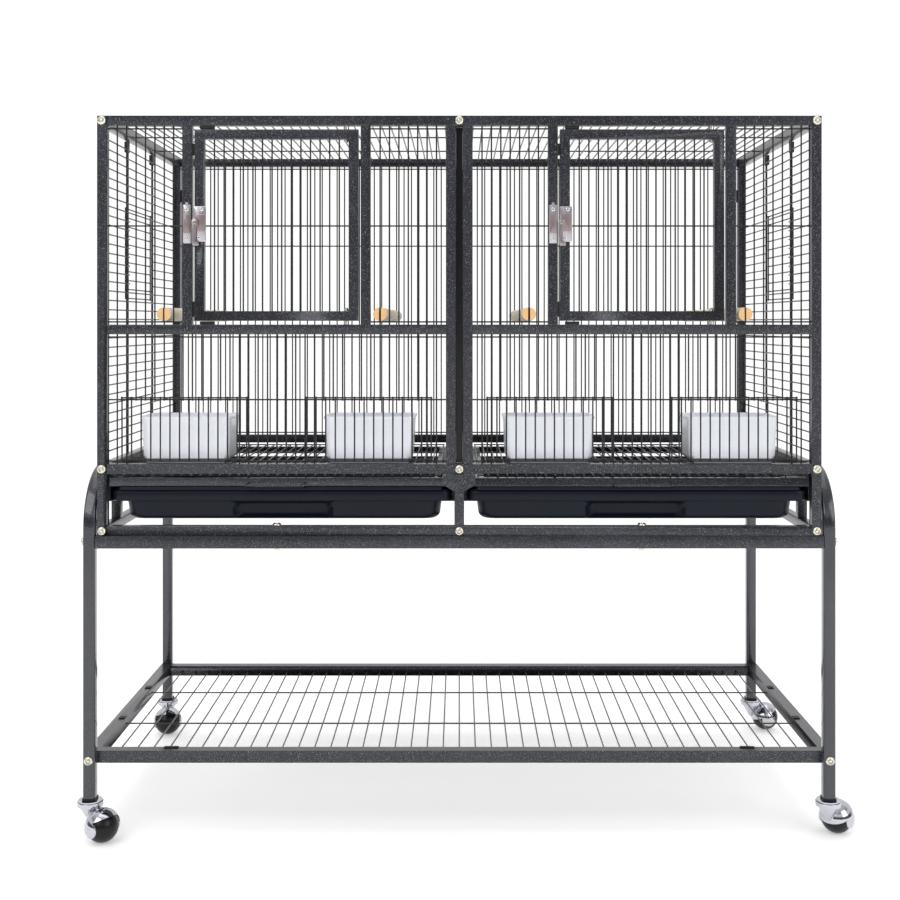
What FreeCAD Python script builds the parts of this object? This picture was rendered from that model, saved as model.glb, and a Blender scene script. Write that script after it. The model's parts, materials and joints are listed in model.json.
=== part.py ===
import FreeCAD, Part
import math
import os
import Sketcher

# Double bird cage on a rolling stand. X runs along the front, Y goes back, Z is up.
# The origin is on the floor, under the middle of the stand.

DIMENSIONS = {
    # overall
    "cage_width": 940.0,
    "cage_depth": 457.2,
    "cage_height": 545.0,
    "cage_base": 393.0,
    "stand_lip": 3.0,
    "stand_back_lip": 7.8,
    "side_gap": 2.0,
    # tubes
    "cage_tube": 12.7,
    "cage_wall": 1.2,
    "stand_tube": 15.9,
    "stand_wall": 1.5,
    # heights above the underside of the cage
    "low_rail": 80.3,
    "mid_rail": 261.4,
    "belt_height": 402.4,
    "feeder_top": 176.4,
    # front layout
    "centre_gap": 9.4,
    "door_opening": 218.8,
    "door_side_gap": 3.0,
    "door_end_gap": 4.8,
    "hinge_inset": 16.0,
    "pin_size": 4.0,
    "pin_play": 0.05,
    "gusset_half": 20.8,
    "gusset_drop": 22.2,
    "gusset_plate": 2.0,
    # wires
    "wire_size": 2.0,
    "wire_pitch": 12.3,
    "side_pitch": 12.55,
    "edge_wire": 3.5,
    "wire_tail": 1.5,
    "side_wire_inset": 3.0,
    "rod_size": 3.2,
    "rod_front": 155.5,
    "rod_rear": 302.4,
    "rod_bracket": 12.0,
    "bracket_drop": 15.0,
    "side_post": 70.0,
    # feeder gates and cups
    "feeder_shift": 2.3,
    "gate_width": 162.0,
    "gate_standoff": 2.8,
    "ring_wire": 1.6,
    "ring_play": 0.6,
    "cup_width": 120.6,
    "cup_depth": 74.0,
    "cup_height": 57.0,
    "cup_taper": 2.5,
    "cup_wall": 2.0,
    "cup_foot": 4.4,
    "cup_rim": 3.0,
    # nest gates
    "nest_bottom": 311.4,
    "nest_top": 438.4,
    "nest_standoff": 3.0,
    # perches
    "perch_size": 17.8,
    "perch_reach": 5.0,
    "slot_width": 2.8,
    # grates and trays
    "grate_bar": 10.6,
    "grate_base": 64.4,
    "grate_rise": 2.1,
    "grate_stop": 20.0,
    "grate_centre_gap": 21.3,
    "grate_side_gap": 3.7,
    "grate_recess": 0.6,
    "handle_width": 73.5,
    "handle_reach": 18.0,
    "handle_wire": 3.0,
    "tray_top": 59.4,
    "tray_rim": 14.4,
    "tray_base": 20.9,
    "tray_centre_gap": 10.8,
    "tray_side_gap": 5.7,
    "tray_step_in": 12.2,
    "tray_step_out": 16.6,
    "tray_taper": 3.0,
    "tray_wall": 2.2,
    "tray_lip": 4.6,
    "tray_lip_reach": 2.5,
    "recess_width": 119.5,
    "recess_drop": 9.0,
    "guide_sheet": 1.5,
    "guide_ledge": 21.5,
    # latches
    "latch_height": 404.4,
    "latch_plate": 1.2,
    "lever_sheet": 1.6,
    # stand
    "arch_top": 87.4,
    "bend_radius": 72.0,
    "shelf_height": 94.4,
    "shelf_pitch": 21.7,
    "leg_foot": 53.0,
    "plug_flange": 3.0,
    "plug_depth": 18.0,
    # casters
    "wheel_radius": 20.7,
    "hood_radius": 23.0,
    "hood_wall": 1.6,
    "hood_edge": 7.0,
    "ear_radius": 10.5,
    "caster_trail": 24.0,
    "swivel_radius": 16.5,
    "stem_size": 8.0,
    "axle_size": 5.0,
    "running_play": 0.05,
    # fasteners
    "bolt_size": 5.0,
    "cage_head_margin": 1.1,
    "stand_head_margin": 4.3,
    "bolt_dome": 3.4,
    "nut_size": 8.0,
    "nut_height": 4.0,
    "clamp_offset": 237.5,
}

# Headings of the four casters as the trail points, in degrees from +X towards +Y.
CASTER_HEADINGS = {
    "front_left": -35.0,
    "front_right": 48.0,
    "rear_left": -78.0,
    "rear_right": 4.0,
}

# Each perch stands on a wire counted from the outer post or from the centre post.
PERCH_WIRES = {
    "outer_left": (-1, "outer", 6),
    "inner_left": (-1, "inner", 7),
    "inner_right": (1, "inner", 6),
    "outer_right": (1, "outer", 7),
}

# Wires of the lower front panels that bound the two feeder openings, from either end.
FEEDER_WIRES = (2, 14)

# Wires of the side panels that bound the nest opening, from the lower rail up.
NEST_WIRES = (18, 27)

VECTOR = FreeCAD.Vector
AXIS_NUMBER = {"x": 0, "y": 1, "z": 2}


class Size:
    """A length known both as a formula on the sheet and as its present value."""

    def __init__(self, text, value):
        self.text = text
        self.value = value

    def __add__(self, other):
        other = as_size(other)
        return Size(f"({self.text} + {other.text})", self.value + other.value)

    def __sub__(self, other):
        other = as_size(other)
        return Size(f"({self.text} - {other.text})", self.value - other.value)

    def __mul__(self, other):
        other = as_size(other)
        return Size(f"({self.text} * {other.text})", self.value * other.value)

    def __truediv__(self, other):
        other = as_size(other)
        return Size(f"({self.text} / {other.text})", self.value / other.value)

    def __radd__(self, other):
        return as_size(other) + self

    def __rsub__(self, other):
        return as_size(other) - self

    def __rmul__(self, other):
        return as_size(other) * self

    def __neg__(self):
        return Size(f"(-1 * {self.text})", -self.value)


def as_size(number):
    if isinstance(number, Size):
        return number
    return Size(f"({number:.9f})", float(number))


doc = FreeCAD.newDocument("bird_cage")
sheet = doc.addObject("Spreadsheet::Sheet", "Dims")
for row, (alias, number) in enumerate(DIMENSIONS.items(), start=1):
    sheet.set(f"A{row}", alias.replace("_", " "))
    sheet.set(f"B{row}", str(number))
    sheet.setAlias(f"B{row}", alias)
doc.recompute()
dim = {alias: Size(f"Dims.{alias}", float(sheet.get(alias))) for alias in DIMENSIONS}
sub_parts = []


# ---------------------------------------------------------------- helpers

def bind(item, **sizes):
    """Ties properties of an object to formulas on the sheet."""
    for name, size in sizes.items():
        item.setExpression(name, as_size(size).text)


def place(item, at, rotation=None):
    """Puts an object at a point whose coordinates are formulas."""
    if rotation is not None:
        item.Placement = FreeCAD.Placement(VECTOR(0, 0, 0), rotation)
    for letter, size in zip("xyz", at):
        item.setExpression(f"Placement.Base.{letter}", as_size(size).text)


def node(item, label):
    """Names a sub-part, which is written to a file of that name."""
    item.Label = label
    sub_parts.append(item)
    return item


def box(x, y, z):
    """A block between pairs of coordinates."""
    item = doc.addObject("Part::Box", "block")
    bind(item, Length=x[1] - x[0], Width=y[1] - y[0], Height=z[1] - z[0])
    place(item, (x[0], y[0], z[0]))
    return item


TURN = {
    "x": FreeCAD.Rotation(VECTOR(0, 1, 0), 90),
    "y": FreeCAD.Rotation(VECTOR(1, 0, 0), -90),
    "z": FreeCAD.Rotation(),
}


def rod(along, at, length, diameter):
    """A round bar that starts at a point and runs along an axis."""
    item = doc.addObject("Part::Cylinder", "rod")
    bind(item, Radius=as_size(diameter) / 2, Height=length)
    place(item, at, TURN[along])
    return item


def cone(at, low_radius, high_radius, height):
    item = doc.addObject("Part::Cone", "cone")
    bind(item, Radius1=low_radius, Radius2=high_radius, Height=height)
    place(item, at)
    return item


def ball(at, radius):
    item = doc.addObject("Part::Sphere", "ball")
    bind(item, Radius=radius)
    place(item, at)
    return item


def cut(base, tool):
    item = doc.addObject("Part::Cut", "cut")
    item.Base = base
    item.Tool = tool
    return item


def common(first, second):
    item = doc.addObject("Part::Common", "overlap")
    item.Base = first
    item.Tool = second
    return item


def fuse(pieces):
    item = doc.addObject("Part::MultiFuse", "fused")
    item.Shapes = pieces
    item.Refine = False
    return item


def group(pieces):
    """Separate solids that are kept in one sub-part."""
    item = doc.addObject("Part::Compound", "group")
    item.Links = pieces
    return item


def tube(along, x, y, z, wall, holes=()):
    """A square tube, open at both ends, with any holes drilled through it."""
    spans = [x, y, z]
    bore = []
    for letter, span in zip("xyz", spans):
        bore.append(span if letter == along else (span[0] + wall, span[1] - wall))
    item = cut(box(*spans), box(*bore))
    for hole in holes:
        item = cut(item, hole)
    return item


def mirrored(side, near, far):
    """The X range of a piece that lies between two distances from the middle."""
    if side > 0:
        return (near, far)
    return (-far, -near)


def strand(along, at, end, diameter):
    """A wire from a point to an end coordinate on its own axis."""
    return rod(along, at, end - at[AXIS_NUMBER[along]], diameter)


def spaced(low, high, pitch):
    """Evenly spaced coordinates between two limits, as near the pitch as they divide."""
    gaps = max(2, round((high.value - low.value) / pitch.value))
    return [low + (high - low) * (number / gaps) for number in range(gaps + 1)]


def wires(along, plane, plane_at, spread, spots, start, end, diameter):
    """Parallel wires in one plane."""
    made = []
    for spot in spots:
        point = {plane: plane_at, spread: spot, along: start}
        made.append(strand(along, (point["x"], point["y"], point["z"]), end, diameter))
    return made


def sketch_plane(body, role):
    return next(item for item in body.Origin.OriginFeatures if item.Role == role)


def outline(body, role, corners):
    """A closed outline on an origin plane of its body, each corner held by two sizes."""
    sketch = body.newObject("Sketcher::SketchObject", "outline")
    sketch.AttachmentSupport = (sketch_plane(body, role), [""])
    sketch.MapMode = "FlatFace"
    count = len(corners)
    points = [VECTOR(as_size(across).value, as_size(up).value, 0) for across, up in corners]
    for number in range(count):
        sketch.addGeometry(Part.LineSegment(points[number], points[(number + 1) % count]))
    for number, (across, up) in enumerate(corners):
        following = (number + 1) % count
        sketch.addConstraint(Sketcher.Constraint("Coincident", number, 2, following, 1))
        for kind, size in (("DistanceX", across), ("DistanceY", up)):
            value = as_size(size).value
            index = sketch.addConstraint(Sketcher.Constraint(kind, -1, 1, number, 1, value))
            if isinstance(size, Size):
                sketch.setExpression(f"Constraints[{index}]", size.text)
    return sketch


def padded(label, role, corners, length, reversed_pad=False):
    """A PartDesign body: an outline padded to a length."""
    body = doc.addObject("PartDesign::Body", label)
    sketch = outline(body, role, corners)
    pad = body.newObject("PartDesign::Pad", "pad")
    pad.Profile = sketch
    pad.Reversed = reversed_pad
    bind(pad, Length=length)
    return body


# ---------------------------------------------------------------- shared coordinates

half = dim["cage_width"] / 2
tube_size = dim["cage_tube"]
wall = dim["cage_wall"]
inside = half - tube_size
stand_depth = dim["stand_lip"] + dim["cage_depth"] + dim["stand_back_lip"]
front = dim["stand_lip"] - stand_depth / 2
back = front + dim["cage_depth"]
behind_front = front + tube_size
before_back = back - tube_size
front_plane = front + tube_size / 2
back_plane = back - tube_size / 2
base = dim["cage_base"]
top = base + dim["cage_height"]
under_top = top - tube_size
low = base + dim["low_rail"]
low_top = low + tube_size
mid = base + dim["mid_rail"]
mid_top = mid + tube_size
base_top = base + tube_size
centre_in = dim["centre_gap"] / 2
centre_out = centre_in + tube_size
section_middle = (centre_out + inside) / 2
door_near = section_middle - dim["door_opening"] / 2
door_far = section_middle + dim["door_opening"] / 2
wire_size = dim["wire_size"]
wire_half = wire_size / 2
pitch = dim["wire_pitch"]
edge = dim["edge_wire"]
tail = dim["wire_tail"]
belt = base + dim["belt_height"]
feeder_top = base + dim["feeder_top"]
bolt_levels = [under_top + tube_size / 2, low + tube_size / 2, base + tube_size / 2]
bolt_hole = dim["bolt_size"]
SIDES = {"left": -1, "right": 1}

leg_inner = half + dim["side_gap"]
leg_outer = leg_inner + dim["stand_tube"]
leg_middle = leg_inner + dim["stand_tube"] / 2
stand_front = -stand_depth / 2
stand_back = stand_depth / 2
leg_rows = {
    "front": (stand_front, stand_front + dim["stand_tube"]),
    "rear": (stand_back - dim["stand_tube"], stand_back),
}
shelf_low = dim["shelf_height"]
shelf_high = shelf_low + dim["stand_tube"]
shelf_level = shelf_low + dim["stand_tube"] / 2
rail_low = base - dim["stand_tube"]
rail_level = base - dim["stand_tube"] / 2


def depth_hole(x, z, y_range):
    """A bolt hole that runs through a tube from front to back."""
    return rod("y", (x, y_range[0], z), y_range[1] - y_range[0], bolt_hole)


leg_rows_middle = {name: (low_y + high_y) / 2 for name, (low_y, high_y) in leg_rows.items()}
door_low = mid_top + dim["door_end_gap"]
door_high = under_top - dim["door_end_gap"]
door_gap = dim["door_side_gap"]
latch_level = base + dim["latch_height"]
doors = {
    "left": (-(door_far - door_gap), -(door_near + door_gap)),
    "right": (door_near + door_gap, door_far - door_gap),
}
pin_radius = dim["pin_size"] / 2
rod_plane = half - dim["side_wire_inset"] + wire_half + dim["rod_size"] / 2 + 0.02
rod_depths = (front + dim["rod_front"], front + dim["rod_rear"])
lower_grid = spaced(centre_out, inside, pitch)
perch_radius = dim["perch_size"] / 2
zero = as_size(0)


def span(at, size):
    return (at, at + size)


def around(middle, size):
    return (middle - as_size(size) / 2, middle + as_size(size) / 2)


# ---------------------------------------------------------------- cage frames

def keeper_holes(side_name):
    """Screw holes for the latch keeper, in the post beside a door's latch edge."""
    across = doors[side_name][0] - door_gap - tube_size / 2
    heights = (latch_level + 19, latch_level - 19)
    return [rod("y", (across, front, height), wall, 3.0) for height in heights]


def front_tubes():
    """The welded front frame, tube by tube."""
    y = (front, behind_front)
    half_tube = tube_size / 2
    tubes = []
    for side in SIDES.values():
        middle = side * (inside + half_tube)
        holes = [depth_hole(middle, level, y) for level in bolt_levels]
        tubes.append(tube("z", mirrored(side, inside, half), y, (base, top), wall, holes))
    pins = [doors[name][1] - dim["hinge_inset"] for name in SIDES]
    holes = [depth_hole(zero, bolt_levels[0], y)]
    for across in pins:
        holes.append(rod("z", (across, front_plane, under_top), wall, dim["pin_size"]))
    tubes.append(tube("x", (-inside, inside), y, span(under_top, tube_size), wall, holes))
    holes = [depth_hole(zero, bolt_levels[1], y)]
    tubes.append(tube("x", (-inside, inside), y, span(low, tube_size), wall, holes))
    holes = [depth_hole(zero, bolt_levels[2], y)]
    for side in SIDES.values():
        spot = (side * dim["clamp_offset"], clamp_row["front"], base)
        holes.append(rod("z", spot, tube_size, bolt_hole))
    tubes.append(tube("x", (-inside, inside), y, span(base, tube_size), wall, holes))
    tubes.append(tube("z", (-half_tube, half_tube), y, (base_top, low), wall))
    for (name, side), across in zip(SIDES.items(), pins):
        hole = rod("z", (across, front_plane, mid_top - wall), wall, dim["pin_size"])
        x = mirrored(side, centre_out, inside)
        tubes.append(tube("x", x, y, span(mid, tube_size), wall, [hole]))
        x = mirrored(side, centre_in, centre_out)
        tubes.append(tube("z", x, y, (low_top, under_top), wall))
        for near in (door_near - tube_size, door_far):
            holes = []
            if (near is door_far) == (side < 0):
                holes = keeper_holes(name)
            x = mirrored(side, near, near + tube_size)
            tubes.append(tube("z", x, y, (mid_top, under_top), wall, holes))
    return tubes


def back_tubes():
    """The welded back frame, tube by tube."""
    y = (before_back, back)
    half_tube = tube_size / 2
    tubes = []
    for side in SIDES.values():
        middle = side * (inside + half_tube)
        holes = [depth_hole(middle, level, y) for level in bolt_levels]
        tubes.append(tube("z", mirrored(side, inside, half), y, (base, top), wall, holes))
    for start, level in zip((under_top, low, base), bolt_levels):
        holes = [depth_hole(zero, level, y)]
        if start is base:
            for side in SIDES.values():
                spot = (side * dim["clamp_offset"], clamp_row["rear"], base)
                holes.append(rod("z", spot, tube_size, bolt_hole))
        tubes.append(tube("x", (-inside, inside), y, span(start, tube_size), wall, holes))
    for limits in ((base_top, low), (low_top, under_top)):
        tubes.append(tube("z", (-half_tube, half_tube), y, limits, wall))
    return tubes


def gusset():
    """The half-octagon plate welded under the lower rail, over the short centre post."""
    wide = dim["gusset_half"]
    corners = [
        (-centre_out, low),
        (centre_out, low),
        (wide, low - 6),
        (wide, low - 14),
        (tube_size / 2, low - dim["gusset_drop"]),
        (-tube_size / 2, low - dim["gusset_drop"]),
        (-wide, low - 14),
        (-wide, low - 6),
    ]
    plate = padded("gusset", "XZ_Plane", corners, dim["gusset_plate"])
    place(plate, (0, front, 0))
    return plate


clamp_row = {
    "front": (front + stand_front + dim["stand_tube"]) / 2,
    "rear": (back + stand_back - dim["stand_tube"]) / 2,
}
node(group(front_tubes() + [gusset()]), "front_frame")
node(group(back_tubes()), "back_frame")

for side_name, side in SIDES.items():
    x_range = mirrored(side, inside, half)
    side_tubes = []
    for level in (under_top, low, base):
        y_range = (behind_front, before_back)
        side_tubes.append(tube("y", x_range, y_range, span(level, tube_size), wall))
    for start in (front + dim["side_post"], back - dim["side_post"] - tube_size):
        side_tubes.append(tube("z", x_range, span(start, tube_size), (base_top, low), wall))
    node(group(side_tubes), f"side_frame_{side_name}")

centre_tubes = []
for level in (under_top, low, base):
    y_range = (behind_front, before_back)
    centre_tubes.append(tube("y", around(zero, tube_size), y_range, span(level, tube_size), wall))
node(group(centre_tubes), "centre_rails")


# ---------------------------------------------------------------- fixed wire panels

def front_panel(x_range):
    """Wires beside a door, between the mid rail and the top rail."""
    spots = spaced(x_range[0], x_range[1], pitch)[1:-1]
    made = wires("z", "y", front_plane, "x", spots, mid_top, under_top, wire_size)
    levels = [mid_top + edge, belt, under_top - edge]
    made += wires("x", "y", front_plane, "z", levels, x_range[0], x_range[1], wire_size)
    return fuse(made)


def feeder_panels(side):
    """Wires below the mid rail, in pieces that leave the two feeder openings free."""
    grid = [side * spot for spot in lower_grid]
    last = len(grid) - 1
    first, second = FEEDER_WIRES
    sill = low_top + edge
    upper_low = feeder_top - tail
    upper = wires("z", "y", front_plane, "x", grid[1:-1], upper_low, mid, wire_size)
    for level in (feeder_top, mid - edge):
        at = (min(grid[0], grid[-1], key=lambda spot: spot.value), front_plane, level)
        end = max(grid[0], grid[-1], key=lambda spot: spot.value)
        upper.append(strand("x", at, end, wire_size))
    made = [fuse(upper)]
    strips = [(0, first), (second, last - second), (last - first, last)]
    for start, stop in strips:
        spots = grid[max(start, 1):min(stop, last - 1) + 1]
        strip = wires("z", "y", front_plane, "x", spots, low_top, upper_low, wire_size)
        low_x, high_x = sorted((grid[start], grid[stop]), key=lambda spot: spot.value)
        strip.append(strand("x", (low_x, front_plane, sill), high_x, wire_size))
        made.append(fuse(strip))
    for start, stop in ((first, second), (last - second, last - first)):
        low_x, high_x = sorted((grid[start], grid[stop]), key=lambda spot: spot.value)
        at = (low_x + wire_half, front_plane, sill)
        made.append(strand("x", at, high_x - wire_half, wire_size))
    return made


panels = []
for side in SIDES.values():
    for near, far in ((centre_out, door_near - tube_size), (door_far + tube_size, inside)):
        panels.append(front_panel(mirrored(side, near, far)))
    panels += feeder_panels(side)
node(group(panels), "front_wires")

panels = []
for side in SIDES.values():
    spots = [side * spot for spot in lower_grid[:-1]]
    made = wires("z", "y", back_plane, "x", spots, low_top, under_top, wire_size)
    low_x, high_x = mirrored(side, tube_size / 2, inside)
    levels = [low_top + edge, belt, under_top - edge]
    made += wires("x", "y", back_plane, "z", levels, low_x, high_x, wire_size)
    panels.append(fuse(made))
node(group(panels), "back_wires")


def side_panels(side):
    """Horizontal wires of one side, in pieces that leave the nest opening free."""
    plane = side * (half - dim["side_wire_inset"])
    levels = spaced(low_top, under_top, dim["side_pitch"])
    lowest, highest = NEST_WIRES
    edges = (behind_front + edge, before_back - edge)
    made = []
    for picked, limits in (
        (levels[1:lowest + 1], (low_top, levels[lowest] + tail)),
        (levels[highest:-1], (levels[highest] - tail, under_top)),
    ):
        lattice = wires("y", "x", plane, "z", picked, behind_front, before_back, wire_size)
        lattice += wires("z", "x", plane, "y", edges, limits[0], limits[1], wire_size)
        made.append(fuse(lattice))
    limits = (levels[lowest] + tail, levels[highest] - tail)
    between = levels[lowest + 1:highest]
    for start, stop, post in (
        (behind_front, rod_depths[0], edges[0]),
        (rod_depths[1], before_back, edges[1]),
    ):
        strip = wires("y", "x", plane, "z", between, start, stop, wire_size)
        strip.append(strand("z", (plane, post, limits[0]), limits[1], wire_size))
        made.append(fuse(strip))
    return made


for side_name, side in SIDES.items():
    node(group(side_panels(side)), f"side_wires_{side_name}")

guide_rods = []
for side in SIDES.values():
    for depth in rod_depths:
        shaft = strand("z", (side * rod_plane, depth, low_top), under_top, dim["rod_size"])
        x_range = mirrored(side, rod_plane - 1.4, rod_plane + dim["rod_size"])
        heights = (under_top - dim["bracket_drop"], under_top)
        bracket = box(x_range, around(depth, dim["rod_bracket"]), heights)
        guide_rods.append(fuse([shaft, bracket]))
node(group(guide_rods), "side_rods")

panels = []
for side in SIDES.values():
    low_x, high_x = mirrored(side, tube_size / 2, inside)
    spots = spaced(low_x, high_x, pitch)[1:-1]
    level = bolt_levels[0]
    made = wires("y", "z", level, "x", spots, behind_front, before_back, wire_size)
    depths = [behind_front + edge, *rod_depths, before_back - edge]
    made += wires("x", "z", level, "y", depths, low_x, high_x, wire_size)
    panels.append(fuse(made))
node(group(panels), "top_wires")


# ---------------------------------------------------------------- runners and guides

grate_low = base + dim["grate_base"]
grate_level = grate_low + dim["grate_bar"] + dim["grate_rise"] + wire_half
tray_high = base + dim["tray_top"]
rim_low = tray_high - dim["tray_rim"]
sheet_metal = dim["guide_sheet"]
y_range = (behind_front, before_back)
centre_guide = fuse([
    box(around(zero, sheet_metal), y_range, (rim_low - sheet_metal, low)),
    box(around(zero, dim["guide_ledge"] * 2), y_range, (rim_low - sheet_metal, rim_low)),
    box(around(zero, dim["grate_centre_gap"] * 2 + 14), y_range,
        (grate_low - sheet_metal, grate_low)),
])
runners = [centre_guide]
for side in SIDES.values():
    tray_ledge = mirrored(side, inside - dim["guide_ledge"] + 2, inside)
    grate_ledge = mirrored(side, inside - dim["grate_side_gap"] - 8, inside)
    runners.append(fuse([
        box(mirrored(side, inside - sheet_metal, inside), y_range,
            (rim_low - sheet_metal, low + 8)),
        box(tray_ledge, y_range, (rim_low - sheet_metal, rim_low)),
        box(grate_ledge, y_range, (grate_low - sheet_metal, grate_low)),
    ]))
node(group(runners), "tray_guides")

divider_half = centre_in - 0.7
strips = []
for side in SIDES.values():
    for heights in ((low_top, low_top + 6), (under_top - 6, under_top)):
        x_range = mirrored(side, divider_half + 0.3, divider_half + 1.5)
        strips.append(box(x_range, y_range, heights))
node(group(strips), "divider_guides")


def upright(x_range, y_range, heights, sheet):
    return tube("z", x_range, y_range, heights, sheet)


divider_front = span(behind_front + 0.5, divider_half * 2)
divider_rear = (before_back - 2 - divider_half * 2, before_back - 2)
divider_span = (low_top + 1, under_top - 1)
leaves = [
    upright(around(zero, divider_half * 2), divider_front, divider_span, 1.0),
    upright(around(zero, divider_half * 2), divider_rear, divider_span, 1.0),
]
levels = spaced(low_top, under_top, dim["side_pitch"])[1:-1]
mesh = wires("y", "x", zero, "z", levels, divider_front[1], divider_rear[0], wire_size)
depths = [divider_front[1] + edge, *rod_depths, divider_rear[0] - edge]
mesh += wires("z", "x", zero, "y", depths, levels[0] - tail, levels[-1] + tail, wire_size)
node(group(leaves + [fuse(mesh)]), "divider")


# ---------------------------------------------------------------- doors

TURNED = {
    "bottom": FreeCAD.Rotation(VECTOR(1, 0, 0), VECTOR(0, 0, 1), VECTOR(0, -1, 0), "XYZ"),
    "top": FreeCAD.Rotation(VECTOR(-1, 0, 0), VECTOR(0, 0, -1), VECTOR(0, -1, 0), "XYZ"),
    "left": FreeCAD.Rotation(VECTOR(0, 0, -1), VECTOR(1, 0, 0), VECTOR(0, -1, 0), "XYZ"),
    "right": FreeCAD.Rotation(VECTOR(0, 0, 1), VECTOR(-1, 0, 0), VECTOR(0, -1, 0), "XYZ"),
}


def mitred(edge_name, corner, length, bore, holes=()):
    """A square tube cut at 45 degrees at both ends; its long edge starts at a corner."""
    bar = doc.addObject("Part::Wedge", "mitred")
    bind(bar, Xmin=0, Ymin=0, Zmin=0, X2min=tube_size, Z2min=0)
    bind(bar, Xmax=length, Ymax=tube_size, Zmax=tube_size)
    bind(bar, X2max=length - tube_size, Z2max=tube_size)
    place(bar, corner, TURNED[edge_name])
    bar = cut(bar, bore)
    for hole in holes:
        bar = cut(bar, hole)
    return bar


def door_tubes(name):
    """The four mitred tubes of a door, with its pin holes and latch screw holes."""
    low_x, high_x = doors[name]
    width = high_x - low_x
    height = door_high - door_low
    bore_y = (front + wall, behind_front - wall)
    pin = high_x - dim["hinge_inset"]
    hole_size = dim["pin_size"] + dim["pin_play"] * 2
    made = []
    for edge_name, corner, bore_z, at in (
        ("bottom", (low_x, behind_front, door_low), door_low, door_low),
        ("top", (high_x, behind_front, door_high), door_high - tube_size, door_high - tube_size),
    ):
        heights = (bore_z + wall, bore_z + tube_size - wall)
        bore = box((low_x - 1, high_x + 1), bore_y, heights)
        hole = rod("z", (pin, front_plane, at), tube_size, hole_size)
        made.append(mitred(edge_name, corner, width, bore, [hole]))
    screws = [rod("y", (low_x + across, front, latch_level + up), wall, 3.0)
              for across, up in LATCH_SCREWS]
    for edge_name, corner, start, holes in (
        ("left", (low_x, behind_front, door_high), low_x, screws),
        ("right", (high_x, behind_front, door_low), high_x - tube_size, []),
    ):
        across = (start + wall, start + tube_size - wall)
        bore = box(across, bore_y, (door_low - 1, door_high + 1))
        made.append(mitred(edge_name, corner, height, bore, holes))
    return made


LATCH_SCREWS = ((tube_size - 3.1, 19.0), (tube_size / 2 - 0.05, -18.0))
for name, (low_x, high_x) in doors.items():
    node(group(door_tubes(name)), f"door_frame_{name}")
    inner_x = (low_x + tube_size, high_x - tube_size)
    inner_z = (door_low + tube_size, door_high - tube_size)
    spots = spaced(inner_x[0], inner_x[1], pitch)[1:-1]
    mesh = wires("z", "y", front_plane, "x", spots, inner_z[0], inner_z[1], wire_size)
    mesh += wires("x", "y", front_plane, "z", [belt], inner_x[0], inner_x[1], wire_size)
    node(fuse(mesh), f"door_wires_{name}")

pins = []
for low_x, high_x in doors.values():
    across = high_x - dim["hinge_inset"]
    inner_low = door_low + tube_size + 0.3
    inner_high = door_high - tube_size - 0.3
    for collar, shaft, cap in (
        ((mid_top, door_low), (mid_top - 6, inner_low + 4), (inner_low, inner_low + 2.6)),
        ((door_high + 0.3, under_top), (inner_high - 4, under_top + 6),
         (inner_high - 2.6, inner_high)),
    ):
        pins.append(fuse([
            strand("z", (across, front_plane, collar[0]), collar[1], 7.0),
            strand("z", (across, front_plane, shaft[0]), shaft[1], dim["pin_size"]),
            strand("z", (across, front_plane, cap[0]), cap[1], 5.8),
        ]))
node(group(pins), "hinge_pins")


# ---------------------------------------------------------------- latches

def screw(at, head, dome, shank, length):
    """A small pan-head screw driven in along +Y."""
    across, face, height = at
    return fuse([
        rod("y", (across, face - dome, height), dome, head),
        rod("y", (across, face, height), length, shank),
    ])


plate = dim["latch_plate"]
keepers = []
for low_x, high_x in doors.values():
    middle = low_x - door_gap - tube_size / 2
    backing = box(around(middle, 10.4), (front - plate, front), around(latch_level, 50))
    strap = box(around(middle, 9.0), (front - 3.1, front - plate), around(latch_level, 24))
    nub = box(around(middle, 4.0), (front - plate, front), span(latch_level + 25, 3))
    keeper = fuse([backing, strap, nub])
    for up in (19, -19):
        keeper = cut(keeper, rod("y", (middle, front - plate, latch_level + up), plate, 3.0))
        keepers.append(screw((middle, front - plate, latch_level + up), 5.2, 1.2, 3.0, 5.0))
    keepers.append(keeper)
node(group(keepers), "latch_keepers")

LEVER_OUTLINE = (
    (-5.4, 5.0), (-3.4, 7.0), (4.0, 7.0), (6.0, 5.0), (6.0, -2.0), (2.4, -5.0),
    (2.4, -20.0), (6.5, -24.0), (6.5, -28.0), (-1.0, -28.5), (-5.4, -22.0),
)
LEVER_PIVOT = (1.5, 2.0)
for name, (low_x, high_x) in doors.items():
    face = front - plate
    pivot = (low_x + LEVER_PIVOT[0], latch_level + LEVER_PIVOT[1])
    backing = box((low_x + 0.4, low_x + 18.4), (face, front), around(latch_level, 46))
    boss = rod("y", (pivot[0], front - 3.3, pivot[1]), as_size(3.3) - plate, 6.0)
    shaft = rod("y", (pivot[0], front - 5.1, pivot[1]), 1.8, 3.0)
    cap = rod("y", (pivot[0], front - 6.0, pivot[1]), 0.9, 5.0)
    pieces = [fuse([backing, boss, shaft, cap])]
    for across, up in LATCH_SCREWS:
        at = (low_x + across, face, latch_level + up)
        pieces[0] = cut(pieces[0], rod("y", at, plate, 3.0))
        pieces.append(screw(at, 5.2, 1.2, 3.0, 5.0))
    node(group(pieces), f"latch_plate_{name}")
    corners = [(as_size(across), as_size(up)) for across, up in LEVER_OUTLINE]
    lever = padded("lever", "XZ_Plane", corners, dim["lever_sheet"])
    place(lever, (low_x, front - 3.4, latch_level))
    hole = rod("y", (pivot[0], front - 6, pivot[1]), 6.0, 3.1)
    node(cut(lever, hole), f"latch_lever_{name}")


# ---------------------------------------------------------------- sliding wire gates

def ring(at, radius, thick, arc=360, rotation=None):
    """A wire ring round a vertical wire."""
    item = doc.addObject("Part::Torus", "ring")
    bind(item, Radius1=radius, Radius2=as_size(thick) / 2, Angle3=arc)
    place(item, at, rotation)
    return item


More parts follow.
